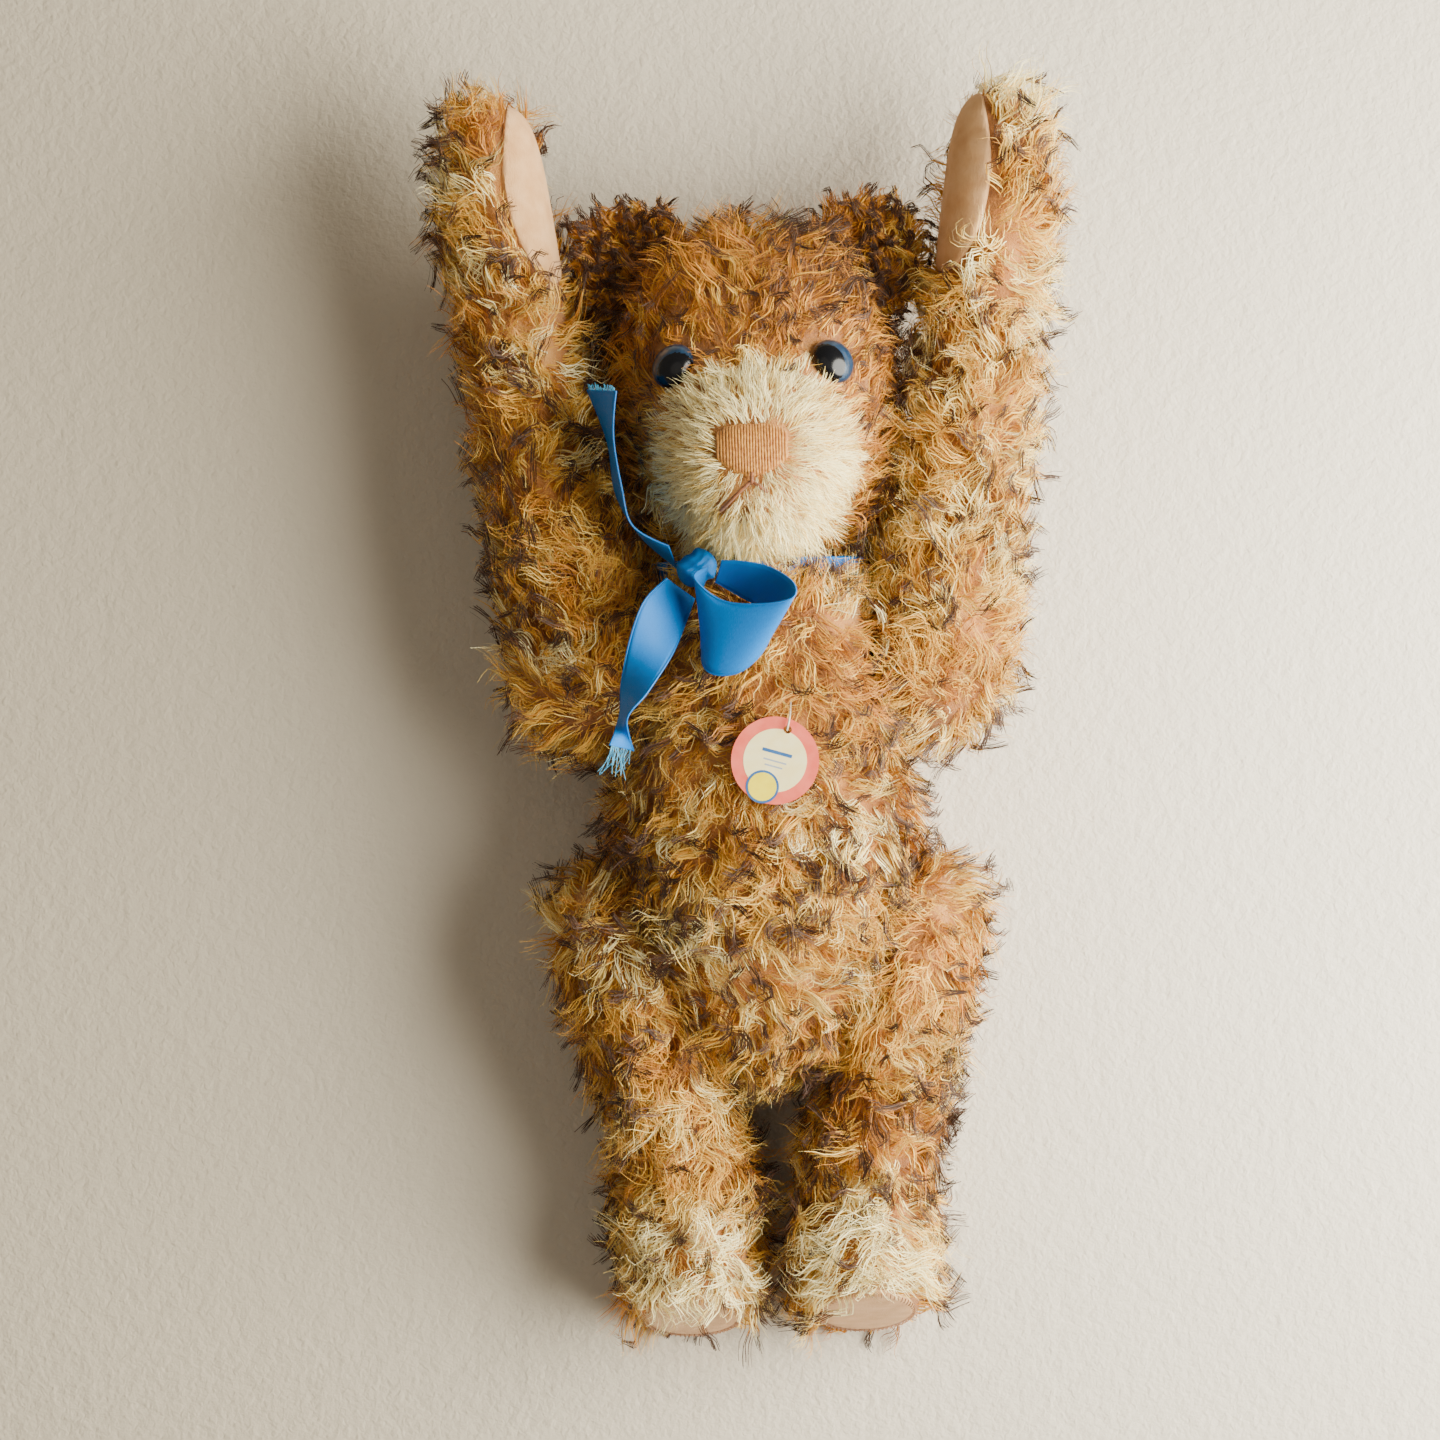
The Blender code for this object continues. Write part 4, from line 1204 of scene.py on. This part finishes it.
def over_ribbons(low, heights, tag_low):
    """A ceiling that removes the strands that would pass through or over the ribbons and the tag."""

    def ceiling(path):
        at = (path[:, 2:, :2] / MM - low).astype(int)
        inside = (at >= 0).all(-1) & (at[..., 0] < heights.shape[0]) & (at[..., 1] < heights.shape[1])
        at = np.where(inside[..., None], at, 0)
        top = np.where(inside, heights[at[..., 0], at[..., 1]], 9.0)
        tag = np.hypot(path[:, 2:, 0] - 0.003, path[:, 2:, 1] + 0.0085) < 0.0132
        blocked = (path[:, 2:, 2] > top - 0.001) | (tag & (path[:, 2:, 2] > tag_low - 0.0005))
        return blocked.any(1)

    return ceiling


def both(*tests):
    def ceiling(path):
        return np.logical_or.reduce([test(path) for test in tests])

    return ceiling


# ---------------------------------------------------------------- the scene

add_camera()
add_world()
add_area_light("window", (0.64, -0.04, 0.44), 1.0, 36.0, (1.0, 0.97, 0.86))
add_area_light("bounce", (-0.3, 0.2, 1.4), 1.4, 1.5, (1.0, 0.90, 0.76))

floor_mesh = mesh_of("floor", [(-3, -3, -0.0006), (3, -3, -0.0006), (3, 3, -0.0006), (-3, 3, -0.0006)], [(0, 1, 2, 3)])
link("floor", floor_mesh, floor_material())

finishes = {
    "stuffing": wood_wool_material(),
    "disc": hardboard_material(),
    "washer": steel_material(),
}
finishes["pin"] = finishes["washer"]
for name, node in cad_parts.items():
    for ending, material in finishes.items():
        if name.endswith(ending):
            for place in node.material_slots:
                place.material = material

hair = hair_materials()
underfur = underfur_material("underfur", (120, 72, 30), (176, 114, 54), (206, 150, 84))
forms = all_forms()
head_tree = tree_of(forms["head"])
EYE_MIDDLE = ray_down(head_tree, 23.0, 109.0)[0]
FUR_SHARE = 1.0

SKIN_STANDS_FOR = {
    "torso": ["torso_cover"],
    "head": ["head_cover", "muzzle_panel"],
    "left_arm": ["left_arm_cover"],
    "right_arm": ["right_arm_cover"],
    "left_leg": ["left_leg_cover"],
    "right_leg": ["right_leg_cover"],
}
for body, mesh in forms.items():
    skin = link(f"{body}_skin", mesh, underfur)
    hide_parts(*SKIN_STANDS_FOR[body])
    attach(skin, body)

ears = ear_forms()
for side, mesh in ears.items():
    skin = link(f"{side}_ear_skin", mesh, underfur)
    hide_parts(f"{side}_ear")
    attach(skin, "head")

pads(felt_material())
eyes(head_tree)
nose_and_mouth(head_tree)
chest_tag()
bands = ribbons()
ribbon_low, ribbon_heights = cover_map(bands[:3])
under_ribbon = over_ribbons(ribbon_low, ribbon_heights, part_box("chest_tag")[0].z)


def off_the_eyes(path):
    return (eye_gap(path[:, 1:]) < 7.6).any(1)


def off_the_nose(path):
    x, y, z = (path[:, 1:, k] / MM for k in range(3))
    across = np.abs(x - NOSE_X)
    nose = (across < 10.0) & (y < 89.4) & (y > 75.0 + 5.0 * (across / 10.0) ** 1.7) & (z > 95)
    along = np.clip((x + 1.6) / -8.4, 0, 1)
    mouth = (np.hypot(x + 1.6 + 8.4 * along, y - 73.2 + 7.0 * along) < 1.0) & (z > 100)
    return (nose | mouth).any(1)


def off_the_paw(sign):
    def ceiling(path):
        return inside_paw_pad(path[:, 1:], sign, 2.0).any(1)

    return ceiling


def head_allow(points, normals):
    share = seats_open([((0, NECK_Y, NECK_Z), (0, 1, 0), 30)])(points, normals)
    share = share * (1 - muzzle_share(points) ** 2)
    share[eye_gap(points) < 8.0] = 0
    return share


def head_scale(points):
    front = np.clip((points[:, 2] - 0.06) / 0.03, 0, 1)
    near_eye = np.clip((eye_gap(points) - 8) / 16, 0, 1)
    chin = np.clip((0.066 - points[:, 1]) / 0.01, 0, 1)
    brow = 0.5 * near_eye * np.clip((points[:, 1] - 0.10) / 0.03, 0, 1)
    side = 0.3 * np.clip((np.abs(points[:, 0]) - 0.035) / 0.01, 0, 1)
    return (1 - front) + front * (0.42 + brow + 0.9 * chin) + side


def head_pale(points):
    bridge = (points - np.array([0.001, 0.095, 0.098])) / np.array([0.016, 0.014, 0.03])
    return np.clip(0.9 * muzzle_share(points) + np.clip(1.5 - np.linalg.norm(bridge, axis=-1), 0, 0.7), 0, 1)


def chin_scale(points):
    """Longer under the chin, where the pile hangs over the bow."""
    return 1 + 1.3 * np.clip((0.066 - points[:, 1]) / 0.014, 0, 1)


def toe_share(points):
    offset = (points - np.stack([np.sign(points[:, 0]) * 0.027, np.full(len(points), -0.160), np.full(len(points), 0.068)], 1))
    return np.clip((1.6 - np.linalg.norm(offset / np.array([0.021, 0.026, 0.022]), axis=1)) / 0.6, 0, 1)


def ruff_allow(points, normals):
    """The front of the neck's edge, where the coat stands up over the ribbon."""
    band = (points[:, 1] > 0.034) & (points[:, 1] < 0.046) & (points[:, 2] > 0.055)
    return band.astype(float)


def leg_allow(sign):
    seat = seats_open([((31 * sign, -70, 41), (HIP_NORMAL.x * sign, HIP_NORMAL.y, 0), 22)])

    def allow(points, normals):
        share = seat(points, normals)
        return share * ((points - np.array([0, HEEL_Y * MM, 0])) @ np.array(SOLE_NORMAL) < -0.0012)

    return allow


def arm_allow(sign):
    seat = seats_open([((34 * sign, 22.5, 45), (sign, 0, 0), 20)])

    def allow(points, normals):
        return seat(points, normals) * ~inside_paw_pad(points, sign, 0.5)

    return allow


torso_seats = [((0, NECK_Y, NECK_Z), (0, 1, 0), 27)]
for _, sign in SIDES:
    torso_seats.append(((34 * sign, 22.5, 45), (sign, 0, 0), 19))
    torso_seats.append(((31 * sign, -70, 41), (HIP_NORMAL.x * sign, HIP_NORMAL.y, 0), 22))

long_coat = Coat()
under_coat = Coat(
    length=(7, 10), per_lock=12, spread=3.6, segments=3, lay=(0.5, 1.2), hook=0.8, wave=(0.1, 0.3), lift=0.0,
    gather=0.3, width=0.42, tipped=0.0, shades=(0.22, 0.42, 0.26, 0.08, 0.02),
)
ruff_coat = Coat(
    length=(12, 17), per_lock=12, spread=2.4, segments=5, lay=(0.6, 1.2), hook=0.7, wave=(0.2, 0.5), lift=0.2,
    gather=0.5, tipped=0.2,
)
muzzle_coat = Coat(
    length=(6, 9), per_lock=12, spread=1.8, segments=4, lay=(0.45, 1.1), hook=0.45, wave=(0.1, 0.3), lift=0.2,
    gather=0.45, width=0.26, stray=0.2, tipped=0.0, shades=(0.0, 0.0, 0.05, 0.30, 0.65),
)
ear_coat = Coat(length=(9, 14), spread=2.4, lay=(0.4, 1.2), tipped=0.7, shades=(0.25, 0.40, 0.25, 0.08, 0.02))
head_coat = Coat(tipped=0.55, shades=(0.34, 0.38, 0.17, 0.08, 0.03))

face = away_from((0.0, 0.078, 0.104), 0.5, 0.045, 7)
FUR = [
    ("torso", "fur_long", forms["torso"], 2040, long_coat, torso_flow, dict(allow=seats_open(torso_seats), ceiling=under_ribbon)),
    ("head", "fur_long", forms["head"], 1500, head_coat, face, dict(allow=head_allow, scale=head_scale, pale=head_pale, ceiling=both(off_the_eyes, off_the_nose, under_ribbon))),
    ("torso", "fur_under", forms["torso"], 900, under_coat, torso_flow, dict(allow=seats_open(torso_seats), ceiling=under_ribbon)),
    ("head", "fur_under", forms["head"], 700, under_coat, face, dict(allow=head_allow, pale=head_pale, ceiling=both(off_the_eyes, off_the_nose, under_ribbon))),
    ("torso", "fur_ruff", forms["torso"], 7000, ruff_coat, noise_about((0, 1, 0.25), 0.3, 0.03, 21), dict(allow=ruff_allow, ceiling=under_ribbon)),
    ("head", "muzzle_pile", forms["head"], 7000, muzzle_coat, away_from((-0.001, 0.082, 0.112), 0.18, 0.02, 17), dict(allow=lambda p, n: muzzle_share(p) ** 0.7, scale=chin_scale, ceiling=both(off_the_eyes, off_the_nose))),
]
for side, sign in SIDES:
    arm, leg = f"{side}_arm", f"{side}_leg"
    arm_flow = noise_about((0, 1, 0), 1.0, 0.05, 6 + int(sign))
    arm_ceiling = both(off_the_paw(sign), under_ribbon)
    FUR += [
        (arm, "fur_long", forms[arm], 1350, long_coat, arm_flow, dict(allow=arm_allow(sign), ceiling=arm_ceiling, pale=lambda p, sign=sign: np.full(len(p), 0.14 + 0.14 * sign))),
        (arm, "fur_under", forms[arm], 560, under_coat, arm_flow, dict(allow=arm_allow(sign), ceiling=arm_ceiling)),
        (leg, "fur_long", forms[leg], 1450, long_coat, leg_flow, dict(allow=leg_allow(sign), pale=lambda p: 0.85 * toe_share(p))),
        (leg, "fur_under", forms[leg], 560, under_coat, leg_flow, dict(allow=leg_allow(sign), pale=lambda p: 0.7 * toe_share(p))),
        ("head", f"{side}_ear_fur", ears[side], 330, ear_coat, away_from((sign * 0.028, 0.135, 0.044), 0.4, 0.04, 12), {}),
    ]
for number, (body, name, surface, count, coat, flow, options) in enumerate(FUR):
    name = name if name.endswith(("pile", "ear_fur")) else f"{body}_{name}"
    fur = grow(name, surface, int(count * FUR_SHARE), coat, flow, 100 + number, hair, **options)
    "short_pile" if "pile" in name else "mohair"
    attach(fur, body)
